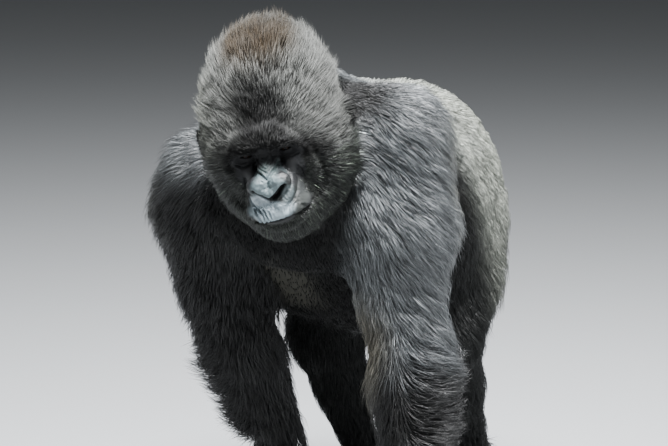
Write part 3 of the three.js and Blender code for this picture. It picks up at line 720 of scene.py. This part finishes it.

# %% [markdown]
# ## Colours
# A mountain gorilla is black, but no two places are the same black. The back and rump of an old male turn
# silver, the crown has a chestnut cap, and the hair inside the left elbow is bleached. Temples and brow are
# grizzled round a black middle, partly the hair's own grizzle and partly painted sheen, which is laid on more
# thickly on the right side of the head, with silver on the right temple. The left arm, which the light falls
# on, and the tops of the shoulders are painted cool grey as sheen. Painted shade darkens the sides of the
# trunk, the hollow between head and shoulder, and on the face the eyes, the root of the nose, the nostrils
# and the mouth. The skin of the face is black; nose, wings and upper lip are painted a lighter blue-grey as
# sheen, a pale patch under the right nostril is a painted highlight, and the bridge is a lighter grey. These
# colours belong to places on the body, so they are worked out once for the skin's vertices and used both by
# the skin and by the locks that grow there. Later markings cover earlier ones.

# %% Markings
BLACK = "#0e0e0d"
DARK = "#181918"
COOL = "#34383a"
GRIZZLED = "#545552"
# a lighter grey, painted as sheen on the left arm and the tops of the shoulders
SHEEN_GREY = "#5b5e5f"
WARM_GREY = "#66665e"
SILVER = "#868980"
BEARD = "#181b17"
CHESTNUT = "#201503"
BLEACHED = "#57544a"
CHEST_SKIN = "#302f29"
FACE_SKIN = "#151617"
HAND_SKIN = "#0f1011"
PALM_SKIN = "#262523"
MUZZLE_SKIN = "#1b1e1d"
LIP_CORNER = "#232624"
BRIDGE = "#353f3e"
# Nose, wing, lip and rim colours are painted sheen and a painted highlight on the black skin; SHADE is
# painted shade.
NOSE_SHEEN = "#4e5a5c"
WING_SHEEN = "#3f4748"
RIM_HIGHLIGHT = "#9ca7ac"
LIP_SHEEN = "#727e83"
SHADE = "#050506"


def painted(colours, markings):
    """Colours with markings over them. A marking is a colour and its share for every vertex."""
    for code, share in markings:
        colours = colours + (np.array(linear(code)) - colours) * np.clip(share, 0, 1)[:, None]
    return colours


co = places(skin)
nor = normals(skin)
q = to_head(co)
x, y, z = co.T
hx, hy, hz = q.T
part = parts_at(co)
edges = edges_of(skin)

arm = is_part(part, "upper_arm", "forearm")
left_arm = arm * (x > 0) * ramp(0.4, 0.52, z)
low_arm = ramp(0.48, 0.56, z) * ramp(0.8, 0.7, z)
# Painted sheen on the left arm: more where it faces sideways and low on the upper arm.
arm_sheen = 0.55 * ramp(0.4, 0.9, np.abs(nor[:, 0])) + 0.5 * low_arm + 0.3
shoulders = is_part(part, "upper_arm", "neck", "trunk") * ramp(-0.38, -0.26, y)
# Painted shade: the sides and front of the trunk, except where they face up, are painted black.
flank_shade = is_part(part, "trunk") * ramp(0.16, 0.04, y) * ramp(0.7, 0.3, nor[:, 2])
rear = ramp(0.22, 0.31, y) * ramp(0.42, 0.52, z)
back = np.maximum(ramp(0.05, 0.25, y + 0.5 * (z - 0.75)) * ramp(0.5, 0.72, z), 0.5 * rear)
elbow = near((co - np.array([0.165, -0.28, 0.49])) * np.array([1, 1, 0.6]), 0, 0.035, 0.085)

on_head = is_part(part, "head", "face", "ear")
# The grizzled grey of brow and temples is partly the hair's own and partly painted sheen: it grows higher up
# the head and is laid on more widely and thickly on the right side.
left_head = ramp(-20, 20, hx)
temple = ramp(92, 112, np.abs(hx) + 14 * (1 - left_head)) * ramp(-60, -10, hz + 22 - 44 * left_head)
brow_edge = ramp(30, 62, hz + 0.6 * np.maximum(np.abs(hx) - 40, 0))
right_temple_sheen = ramp(-78, -104, hx) * ramp(-10, 30, hz)
forehead = ramp(1.2, 0.6, oval(q, 5, 90, 54, 46, pair=False)) * (hy < 0)
brow_middle = ramp(1.3, 0.7, oval(q, 14, 50, 46, 30, pair=False)) * (hy < -60)
crown = on_head * ramp(138, 160, hz) * ramp(82, 50, np.abs(hx - 14)) * ramp(110, 60, hy)

COAT_MARKINGS = [
    (DARK, is_part(part, "thigh", "shank", "trunk") * 1.0),
    (COOL, arm * (x < 0) * ramp(0.74, 0.92, z)),
    # Painted sheen: the left arm, which the light falls on, is painted cool grey and a lighter grey, and the
    # tops of the shoulders are painted lighter where they face up.
    (COOL, left_arm),
    (SHEEN_GREY, left_arm * arm_sheen),
    (WARM_GREY, arm * ramp(-0.28, -0.14, y) * ramp(0.6, 0.75, z) * 0.8),
    (SHEEN_GREY, shoulders * ramp(0.1, 0.8, nor[:, 2])),
    # painted shade on the sides of the trunk
    (BLACK, flank_shade),
    (SILVER, is_part(part, "trunk", "thigh") * back * (0.8 + 0.2 * ripple(co, 0.2, 11))),
    (BLACK, on_head * 1.0),
    # Grizzled grey, partly own colour and partly painted sheen, more on the right side; painted silver sheen
    # on the right temple.
    (GRIZZLED, on_head * np.maximum(brow_edge, temple) * (0.86 - 0.14 * np.tanh(hx / 50))),
    (SILVER, on_head * right_temple_sheen * 0.4),
    (BLACK, on_head * forehead),
    (BLACK, on_head * brow_middle),
    (BLACK, is_part(part, "ear") * 1.0),
    (BEARD, on_head * ramp(-5, -40, hz)),
    (CHESTNUT, crown * (0.85 + 0.15 * ripple(co, 0.05, 12))),
    (BLEACHED, arm * elbow),
    # painted shade in the hollow between head and shoulder
    (BLACK, behind_ear),
]
marks = relax(painted(np.tile(linear(BLACK), (len(co), 1)), COAT_MARKINGS), edges, 14)

bare_now = np.maximum(relax(is_part(part, "hand", "foot").astype(float), edges, 6), skinny)
palm = hand * ramp(0.12, 0.1, z) * ramp(0.1, 0.6, nor[:, 1]) + foot * ramp(-0.2, -0.7, nor[:, 2])
in_face = ramp(1.0, 0.8, face_shell(q))
# Painted shade round the eyes and at the root of the nose, under the brow.
round_eyes, nose_root = oval(q, 34, 10, 36, 20), oval(q, 0, 20, 26, 20)
shaded = in_face * np.maximum(ramp(1.3, 0.9, round_eyes), ramp(1.3, 0.9, nose_root))
SKIN_MARKINGS = [
    (CHEST_SKIN, bare_chest * 1.3),
    (FACE_SKIN, bare_now),
    (HAND_SKIN, relax((hand | foot).astype(float), edges, 6)),
    (PALM_SKIN, palm),
    (MUZZLE_SKIN, in_face * ramp(1.25, 0.85, oval(q, 0, -68, 56, 44)) * (hz > -108)),
    (FACE_SKIN, in_face * ramp(1.3, 0.6, oval(q, 52, -44, 13, 13))),
    (LIP_CORNER, in_face * ramp(1.3, 0.8, oval(q, 48, -90, 18, 14)) * (hz > -107)),
    (BRIDGE, in_face * ramp(1.3, 0.8, oval(q, 0, -10, 20, 18))),
    # Painted sheen: nose, wings and upper lip are painted a lighter blue-grey than the black skin.
    (NOSE_SHEEN, in_face * ramp(1.25, 0.85, oval(q, 0, -39, 32, 22))),
    (WING_SHEEN, in_face * ramp(1.3, 0.8, oval(q, 31, -59, 11, 17))),
    # Painted highlight: a pale patch on the rim under the right nostril.
    (RIM_HIGHLIGHT, in_face * ramp(1.3, 0.7, oval(q, -28, -68, 20, 13, pair=False))),
    (LIP_SHEEN, in_face * ramp(1.3, 0.8, oval(q, -10, -88, 42, 18, pair=False)) * (hz > -106)),
    # Painted shade: near black round the eyes, at the root of the nose, and in the nostrils and the mouth.
    (SHADE, shaded * 0.95),
    (SHADE, in_pit),
]
skin_marks = painted(marks * 0.55, SKIN_MARKINGS)


def colour_layer(obj, name, colours):
    layer = obj.data.color_attributes.new(name, "FLOAT_COLOR", "POINT")
    rgba = np.concatenate([np.clip(colours, 0, 1), np.ones((len(colours), 1))], axis=1)
    layer.data.foreach_set("color", rgba.astype(np.float32).ravel())


colour_layer(skin, "marking", skin_marks)
layer = skin.data.attributes.new("greasy", "FLOAT", "POINT")
dry = np.maximum(0.8 * shaded, ramp(42, 54, np.abs(hx)) * in_face)
layer.data.foreach_set("value", (bare_now * (1 - dry) * np.where(hand | foot, 0.45, 1.0)).astype(np.float32))
print("markings set")

# %% [markdown]
# The skin's material reads those markings and breaks them up with fine grain. Bare gorilla skin is smooth
# and a little greasy, so it shines softly, but less on hands and feet and hardly round the eyes. Its
# surface is a net of tiny creases, here a cell pattern about two millimetres wide used as bump, with slow
# blotches of colour over it.


# %% Material of the skin
def new_material(name):
    material = bpy.data.materials.new(name)
    material.use_nodes = True
    tree = material.node_tree
    return material, tree, tree.nodes["Principled BSDF"]


leather, tree, shader = new_material("bare black skin")
spots = node(tree, "TexCoord").outputs["Object"]
marking = node(tree, "Attribute", {"attribute_name": "marking"}).outputs["Color"]
blotches = node(tree, "TexNoise", Vector=spots, Scale=1 / (9 * MM), Detail=5.0, Roughness=0.6)
blotched = {"Value": blotches.outputs["Fac"], "From_Min": 0.3, "From_Max": 0.7}
tone = node(tree, "MapRange", **blotched, To_Min=0.72, To_Max=1.2)
tint = node(tree, "VectorMath", {"operation": "SCALE"}, Vector=marking, Scale=tone.outputs["Result"])
creases = node(tree, "TexVoronoi", {"feature": "DISTANCE_TO_EDGE"}, Vector=spots, Scale=1 / (2.2 * MM))
grain = node(tree, "TexNoise", Vector=spots, Scale=1 / (0.9 * MM), Detail=3.0)
height = node(tree, "Math", {"operation": "MULTIPLY_ADD"})
tree.links.new(grain.outputs["Fac"], height.inputs[0])
height.inputs[1].default_value = 0.3
tree.links.new(creases.outputs["Distance"], height.inputs[2])
bump = node(tree, "Bump", Height=height.outputs["Value"], Strength=0.5, Distance=0.7 * MM)
greasy = node(tree, "Attribute", {"attribute_name": "greasy"}).outputs["Fac"]
smooth = node(tree, "MapRange", **blotched, To_Min=0.44, To_Max=0.6)
rough = node(tree, "MapRange", Value=greasy, To_Min=0.95, To_Max=smooth.outputs["Result"])
feed(shader, Base_Color=tint.outputs["Vector"], Roughness=rough.outputs["Result"])
feed(shader, Specular_IOR_Level=0.35, Normal=bump.outputs["Normal"])
skin.data.materials.clear()
skin.data.materials.append(leather)
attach(skin, "root")
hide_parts(*FLESH)

# %% [markdown]
# ## Eyes
# The eyeballs are plain balls in the solid's places. A gorilla's eye is nearly all dark: a brown iris round a
# black pupil, and a white that is stained brown. How far a spot on the ball lies from the line of sight
# decides its colour, so that value is stored on the mesh and the material turns it into rings.


# %% Eyeballs
def eyeball(name):
    at = eye_at[name]
    bpy.ops.object.select_all(action="DESELECT")
    bpy.ops.mesh.primitive_uv_sphere_add(segments=48, ring_count=32, radius=EYE_RADIUS * MM)
    ball = bpy.context.active_object
    ball.name = name + "_ball"
    local = places(ball)
    gaze = unit(np.array([[0.05, -1.0, -0.12]]))[0]
    world_gaze = gaze @ HEAD_AXES.T
    off_axis = np.degrees(np.arccos(np.clip(unit(local) @ world_gaze, -1, 1)))
    swell = 1 + 0.05 * ramp(30, 20, off_axis)
    place(ball, local * swell[:, None] + from_head(at[None])[0])
    layer = ball.data.attributes.new("off_axis", "FLOAT", "POINT")
    layer.data.foreach_set("value", off_axis.astype(np.float32))
    ball.data.shade_smooth()
    return ball


wet, tree, shader = new_material("eyeball")
angle = node(tree, "Attribute", {"attribute_name": "off_axis"}).outputs["Fac"]
share = node(tree, "MapRange", Value=angle, From_Min=0.0, From_Max=60.0)
rings = node(tree, "ValToRGB", Fac=share.outputs["Result"])
stops = [  # place from the middle of the pupil outwards, colour
    (0.0, "#020202"),
    (0.2, "#020202"),
    (0.23, "#1c0f07"),
    (0.42, "#100904"),
    (0.47, "#060403"),
    (1.0, "#0e0a08"),
]
ramp_stops = rings.color_ramp.elements
while len(ramp_stops) < len(stops):
    ramp_stops.new(0.5)
for stop, (position, code) in zip(ramp_stops, stops):
    stop.position = position
    stop.color = [*linear(code), 1]
feed(shader, Base_Color=rings.outputs["Color"], Roughness=0.16, Specular_IOR_Level=0.08)
for name in EYES:
    ball = eyeball(name)
    ball.data.materials.append(wet)
    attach(ball, "root")
    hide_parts(name)
print("eyeballs set")

# %% [markdown]
# ## Nails
# The nails are the solid's own small domes. Corners that meet are merged, and dividing the facets then
# rounds each nail. The horn is dark and streaked, and duller than the eyes.

# %% Nails
nails = only(*[copy_of(name) for name in NAILS])
bpy.ops.object.join()
nails.name = "nails"
bpy.ops.object.mode_set(mode="EDIT")
bpy.ops.mesh.select_all(action="SELECT")
bpy.ops.mesh.remove_doubles(threshold=0.05 * MM)
bpy.ops.object.mode_set(mode="OBJECT")
bpy.ops.object.modifier_add(type="SUBSURF")
nails.modifiers[0].levels = nails.modifiers[0].render_levels = 2
bpy.ops.object.modifier_apply(modifier=nails.modifiers[0].name)
nails.data.shade_smooth()
horn, tree, shader = new_material("black nail horn")
spots = node(tree, "TexCoord").outputs["Object"]
streaks = node(tree, "TexNoise", Vector=spots, Scale=1 / (3 * MM), Detail=4.0)
shade = node(tree, "ValToRGB", Fac=streaks.outputs["Fac"])
shade.color_ramp.elements[0].color = [*linear("#0c0b0a"), 1]
shade.color_ramp.elements[1].color = [*linear("#211d18"), 1]
feed(shader, Base_Color=shade.outputs["Color"], Roughness=0.5, Specular_IOR_Level=0.3)
nails.data.materials.clear()
nails.data.materials.append(horn)
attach(nails, "root")
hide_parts(*NAILS)
print("nails:", len(NAILS))

# %% [markdown]
# ## The lie of the coat
# Hair grows in streams. On the head it flows away from the face, up over the crest and back over the
# cheeks. It runs back along the body and down its sides, and down the upper arms and legs. On the forearm
# it turns outwards and back, and at the wrist down over the hand. Each part gets its main direction, the
# directions are relaxed over the surface so that the streams run into each other, and each is laid flat
# against the skin.

# %% Directions
side = np.where(x > 0, 1.0, -1.0)
one = np.ones(len(co))
out_x = np.clip(x / 0.2, -1, 1)


def vectors(vx, vy, vz):
    return np.stack([vx * one, vy * one, vz * one], axis=1)


across, facing_front = nor[:, 0], -nor[:, 1]
outer = ramp(-0.4, 0.3, across * side)  # 1 on the outside of a limb, 0 on its inner side
flow = {
    "trunk": vectors(0.2 * out_x, 1 - 0.4 * np.abs(across), -0.2 - 0.9 * np.abs(across))
    + vectors(0.3 * out_x, -0.6, -1.6) * ramp(0.2, 0.7, facing_front)[:, None],
    "neck": vectors(0.5 * across, 0.7, -0.5 - 0.5 * np.abs(across))
    + vectors(0, -0.4, -0.8) * ramp(0.1, 0.6, facing_front)[:, None],
    "upper_arm": vectors(0, 0.1, -1.0) + vectors(side * 0.8, 0.6, 0) * outer[:, None],
    "forearm": vectors(side * 0.9, 0.45, -0.1) * outer[:, None]
    + vectors(-side * 0.3, 0.2, -1.0) * (1 - outer)[:, None]
    + vectors(0, 0, 0.35) * (outer * ramp(0.46, 0.34, z))[:, None]
    + vectors(0, 0, -1.2) * ramp(0.24, 0.14, z)[:, None],
    "thigh": vectors(side * 0.15, 0.35, -1.0),
    "shank": vectors(side * 0.1, 0.45, -1.0),
    "hand": vectors(side * 0.25, -0.1, -1.0),
    "foot": vectors(side * 0.1, -1.0, -0.2),
    "ear": vectors(side * 0.3, 0.8, 0.2),
    "face": vectors(0, 0, 1),
}
away_from_face = unit(q - np.array([0, -96, -6])) + np.array([0, 0.45, 0])
away_from_face += np.array([0, 0.1, -0.8]) * ramp(-70, -120, hz)[:, None]
flow["head"] = flow["face"] = away_from_face @ HEAD_AXES.T

lie = np.zeros_like(co)
for name in PARTS:
    here = is_part(part, name)
    lie[here] = unit(flow[name])[here]
lie = relax(lie, edges, 25)
lie = unit(lie - nor * (lie * nor).sum(1, keepdims=True))
print("directions set")

# %% [markdown]
# ## Locks of hair
# Sampling points spread over the skin, so many to each square metre, gives the roots. Each lock is a thin
# closed spike with three sides: a ring at the root, one or two rings on the way, and a tip. It leaves the
# skin at a slant and bends back down to the lie of the coat. Slow random ripples swing neighbouring locks
# the same way, so that they gather into strands, and a quick random value sets every lock a little apart.
# The meshes are written straight from arrays, since no modelling tool could place so many small pieces one
# by one.

# %% Sow the roots
skin.data.calc_loop_triangles()
triangles = read(skin.data.loop_triangles, "vertices", 3, np.int64)
loops = read(skin.data.loop_triangles, "loops", 3, np.int64)
uv = read(skin.data.uv_layers["Body"].data, "uv", 2)

corner = co[triangles]
area = np.linalg.norm(np.cross(corner[:, 1] - corner[:, 0], corner[:, 2] - corner[:, 0]), axis=1) / 2
print("skin area:", round(area.sum(), 2), "square metres")


def sow(rate):
    """Roots for a number of locks per square metre at each vertex: triangles, and shares of their corners."""
    wanted = area * rate[triangles].mean(1) * COAT_SHARE
    count = np.floor(wanted + rng.random(len(wanted))).astype(int)
    chosen = np.repeat(np.arange(len(wanted)), count)
    a, b = rng.random((2, len(chosen)))
    flip = a + b > 1
    a, b = np.where(flip, 1 - a, a), np.where(flip, 1 - b, b)
    return chosen, np.stack([1 - a - b, a, b], axis=1)


def at_roots(values, roots, corners=triangles):
    """Values at the roots, from the corners of the triangles that they lie in."""
    chosen, share = roots
    picked = values[corners[chosen]]
    return (picked * share.reshape(share.shape + (1,) * (picked.ndim - 2))).sum(1)


# %% Make locks
UV_PATCH = 0.003
RING = [(-0.5, 0.22), (0.5, 0.22), (0.0, -0.42)]  # a lock's section: two corners outwards, one to the skin
TAPER = {2: [1.0, 0.62], 3: [1.0, 0.8, 0.5]}  # width at each ring, of the width at the root
ROOT_DEPTH = 1.5 * MM  # how far the roots of long locks sit in the skin
SAG = 0.05  # how much every lock hangs down


def lock_piece(name, roots, long_mm, wide_mm, colours, spread, lift, stand, rings):
    """One mesh of closed spikes. spread says how far the locks differ in brightness, lift is the angle off
    the skin at the root, in degrees, and stand the share of it that is left at the tip."""
    n = len(roots[0])
    root = at_roots(co, roots)
    up = unit(at_roots(nor, roots))
    along = at_roots(lie, roots)
    swing = 0.15 * ripple(root, 0.06, 21) + 0.12 * ripple(root, 0.02, 22)
    along += unit(np.cross(up, along)) * swing[:, None]
    along += rng.normal(size=(n, 3)) * 0.07
    along = unit(along - up * (along * up).sum(1, keepdims=True))
    across = np.cross(along, up)
    roll = rng.normal(size=n) * 0.3
    side_way = across * np.cos(roll)[:, None] + up * np.sin(roll)[:, None]
    length = long_mm * MM * rng.uniform(0.6, 1.15, n) * (1 + 0.14 * ripple(root, 0.04, 23))
    width = wide_mm * MM * rng.uniform(0.7, 1.3, n)
    unruly = np.clip(rng.normal(size=n), -2.0, 1.5)
    slant = np.radians(lift * (1 + 0.15 * unruly + 0.2 * ripple(root, 0.03, 24)))
    drop = np.linspace(1.0, stand, rings)  # the lock bends back to the skin along its length
    middle = root - up * np.minimum(ROOT_DEPTH, 0.05 * length)[:, None]
    levels, ways = [middle], []
    for share in drop:
        angle = slant * share
        way = along * np.cos(angle)[:, None] + up * np.sin(angle)[:, None]
        way[:, 2] -= SAG
        ways.append(unit(way))
        levels.append(levels[-1] + ways[-1] * (length / rings)[:, None])
    points = []
    for level, thick, way in zip(levels[:-1], TAPER[rings], ways):
        rise = np.cross(side_way, way)
        for a, b in RING:
            points.append(level + (side_way * a - rise * b) * (width * thick)[:, None])
    points.append(levels[-1])
    per_lock = len(points)
    vertices = np.stack(points, axis=1).reshape(-1, 3)

    faces = [(0, 2, 1)]
    for ring in range(rings - 1):
        for i in range(3):
            a, b = ring * 3 + i, ring * 3 + (i + 1) % 3
            faces += [(a, b, b + 3), (a, b + 3, a + 3)]
    last = (rings - 1) * 3
    faces += [(last + i, last + (i + 1) % 3, per_lock - 1) for i in range(3)]
    faces = np.array(faces)
    corners = (faces.ravel()[None] + np.arange(n)[:, None] * per_lock).ravel()

    mesh = bpy.data.meshes.new(name)
    mesh.vertices.add(len(vertices))
    mesh.vertices.foreach_set("co", vertices.ravel())
    mesh.loops.add(len(corners))
    mesh.loops.foreach_set("vertex_index", corners.astype(np.int32))
    mesh.polygons.add(len(corners) // 3)
    mesh.polygons.foreach_set("loop_start", np.arange(0, len(corners), 3, dtype=np.int32))
    mesh.update(calc_edges=True)
    mesh.shade_smooth()

    along_share = np.repeat(np.append(np.arange(rings) / rings, 1.0), [3] * rings + [1])
    # Painted shade and light along each lock: darker at the root, where the coat shades it, lighter at the
    # tip.
    root_to_tip_shade = 0.75 + 0.4 * along_share
    each = np.exp(rng.normal(0.0, 1.0, n) * spread)[:, None]
    shade = (colours * each)[:, None, :] * root_to_tip_shade[None, :, None]
    obj = bpy.data.objects.new(name, mesh)
    bpy.context.scene.collection.objects.link(obj)
    colour_layer(obj, "marking", shade.reshape(-1, 3))

    ring_u = np.append(np.tile([-0.5, 0.5, 0.0], rings), 0.0)
    spot = np.stack([ring_u, along_share - 0.5], axis=1) * UV_PATCH
    layer = mesh.uv_layers.new(name="OFBake")
    patch = np.clip(at_roots(uv, roots, loops), 0.003, 0.997)[:, None, :] + spot[faces.ravel()][None]
    layer.data.foreach_set("uv", patch.astype(np.float32).ravel())
    return obj


# %% [markdown]
# Black hair has hardly any colour of its own, so much of what the eye sees is light glancing off it. Both
# materials are a dark base from the markings with a broad, soft gloss. On arms, hands and beard the hair
# is glossy, which gives it bright strands between black ones. On the rest of the body it is drier and
# dull, so that its grey comes from the markings and not from the sky.


# %% Material of the coat
def hair_material(name, roughness, gloss):
    hair, tree, shader = new_material(name)
    marking = node(tree, "Attribute", {"attribute_name": "marking"}).outputs["Color"]
    feed(shader, Base_Color=marking, Roughness=roughness, Specular_IOR_Level=gloss)
    return hair


black_hair = hair_material("glossy black hair", 0.4, 0.5)
dull_hair = hair_material("dull head and body hair", 0.55, 0.18)

# %% Grow the coat
SHORTEST = 3  # millimetres: where the hair would be shorter, none grows
roots = sow(density * (length > SHORTEST))
root_part = part[triangles[roots[0], 0]]


def among(*wanted):
    return is_part(root_part, *wanted)


root_at = at_roots(co, roots)
root_head = to_head(root_at)
root_side = root_at[:, 0] > 0
root_long = at_roots(length, roots)
root_wide = WIDTH[root_part]
root_wide += 0.4 * among("face") * ramp(10, 30, root_head[:, 2])  # the brow's hair is coarser
root_marks = at_roots(marks, roots)
glints = among("head", "face") * ramp(10, -30, root_head[:, 2])  # painted glints: some locks of the beard are much brighter, as sheen on single hairs
root_spread = 0.3 + 0.2 * among("upper_arm", "forearm") + 0.85 * glints

head_hair = among("head", "ear", "face")
crest_hair = head_hair & (root_head[:, 2] > 62)
beard_hair = head_hair & (root_head[:, 2] < -18)
temple_hair = head_hair & ~crest_hair & ~beard_hair
GROUPS = {  # which locks, and how many rings each has
    "coat_crest": (crest_hair, 2),
    "coat_temple_left": (temple_hair & (root_head[:, 0] > 0), 2),
    "coat_temple_right": (temple_hair & (root_head[:, 0] <= 0), 2),
    "coat_beard": (beard_hair, 2),
    "coat_neck": (among("neck"), 2),
    "coat_arm_left": (among("upper_arm") & root_side, 2),
    "coat_arm_right": (among("upper_arm") & ~root_side, 2),
    "coat_forearm_left": (among("forearm") & root_side, 3),
    "coat_forearm_right": (among("forearm") & ~root_side, 3),
    "coat_hands": (among("hand"), 2),
    "coat_trunk_front": (among("trunk") & (root_at[:, 1] < 0.05), 2),
    "coat_trunk_middle": (among("trunk") & (root_at[:, 1] >= 0.05) & (root_at[:, 1] < 0.3), 2),
    "coat_rump": (among("trunk") & (root_at[:, 1] >= 0.3), 2),
    "coat_leg_left": (among("thigh", "shank", "foot") & root_side, 2),
    "coat_leg_right": (among("thigh", "shank", "foot") & ~root_side, 2),
}
total = 0
for name, (mask, rings) in GROUPS.items():
    chosen = (roots[0][mask], roots[1][mask])
    lift, stand = (36.0, 0.35) if name == "coat_crest" else (24.0, -0.15)
    own = [values[mask] for values in (root_long, root_wide, root_marks, root_spread)]
    piece = lock_piece(name, chosen, *own, lift, stand, rings)
    glossy = any(word in name for word in ("arm", "hand", "beard"))
    piece.data.materials.append(black_hair if glossy else dull_hair)
    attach(piece, "root")
    total += len(piece.data.polygons)
    print(name, mask.sum(), "locks,", len(piece.data.polygons), "triangles")
print("coat:", total, "triangles")

# %% [markdown]
# ## Studio
# A pale floor, a broad soft light from above, a little to the front and to the animal's left, for the
# sheen of the coat, and a weak fill from its left front.

# %% Floor, light and camera
bpy.ops.object.select_all(action="DESELECT")
bpy.ops.mesh.primitive_plane_add(size=60, location=(0, 0, 0))
floor = bpy.context.active_object
floor.name = "studio_floor"
paper, tree, shader = new_material("studio paper")
feed(shader, Base_Color=[*linear("#8e9091"), 1], Roughness=0.9)
floor.data.materials.append(paper)


def area_light(name, at, target, size, power, colour):
    bpy.ops.object.select_all(action="DESELECT")
    bpy.ops.object.light_add(type="AREA", location=at)
    lamp = bpy.context.active_object
    lamp.name = name
    lamp.data.shape = "DISK"
    lamp.data.size = size
    lamp.data.energy = power
    lamp.data.color = linear(colour)
    lamp.rotation_euler = (Vector(target) - Vector(at)).to_track_quat("-Z", "Y").to_euler()


area_light("sky", (0.8, -0.8, 4.2), (0, -0.1, 0.6), 2.8, 1800, "#fbfcff")
area_light("fill", (4.6, -3.4, 2.4), (0, 0, 0.7), 3.0, 190, "#f7f9ff")
world = bpy.data.worlds.new("studio")
bpy.context.scene.world = world
world.use_nodes = True
feed(world.node_tree.nodes["Background"], Color=[*linear("#dfe4e8"), 1], Strength=0.14)

CAMERA_AT = (2.28854, -5.98960, 1.6)
CAMERA_AZIMUTH = 21.0
CAMERA_PITCH = 8.3
FOCAL_LENGTH, PICTURE_WIDTH = 3150, 668  # both in pixels
SENSOR = 36.0  # millimetres
bpy.ops.object.select_all(action="DESELECT")
bpy.ops.object.camera_add(location=CAMERA_AT)
camera = bpy.context.active_object
camera.name = "camera"
camera.data.sensor_width = SENSOR
camera.data.lens = FOCAL_LENGTH / PICTURE_WIDTH * SENSOR
camera.rotation_euler = (math.radians(90 - CAMERA_PITCH), 0, math.radians(CAMERA_AZIMUTH))
bpy.context.scene.camera = camera
print("camera lens:", round(camera.data.lens, 1), "mm")
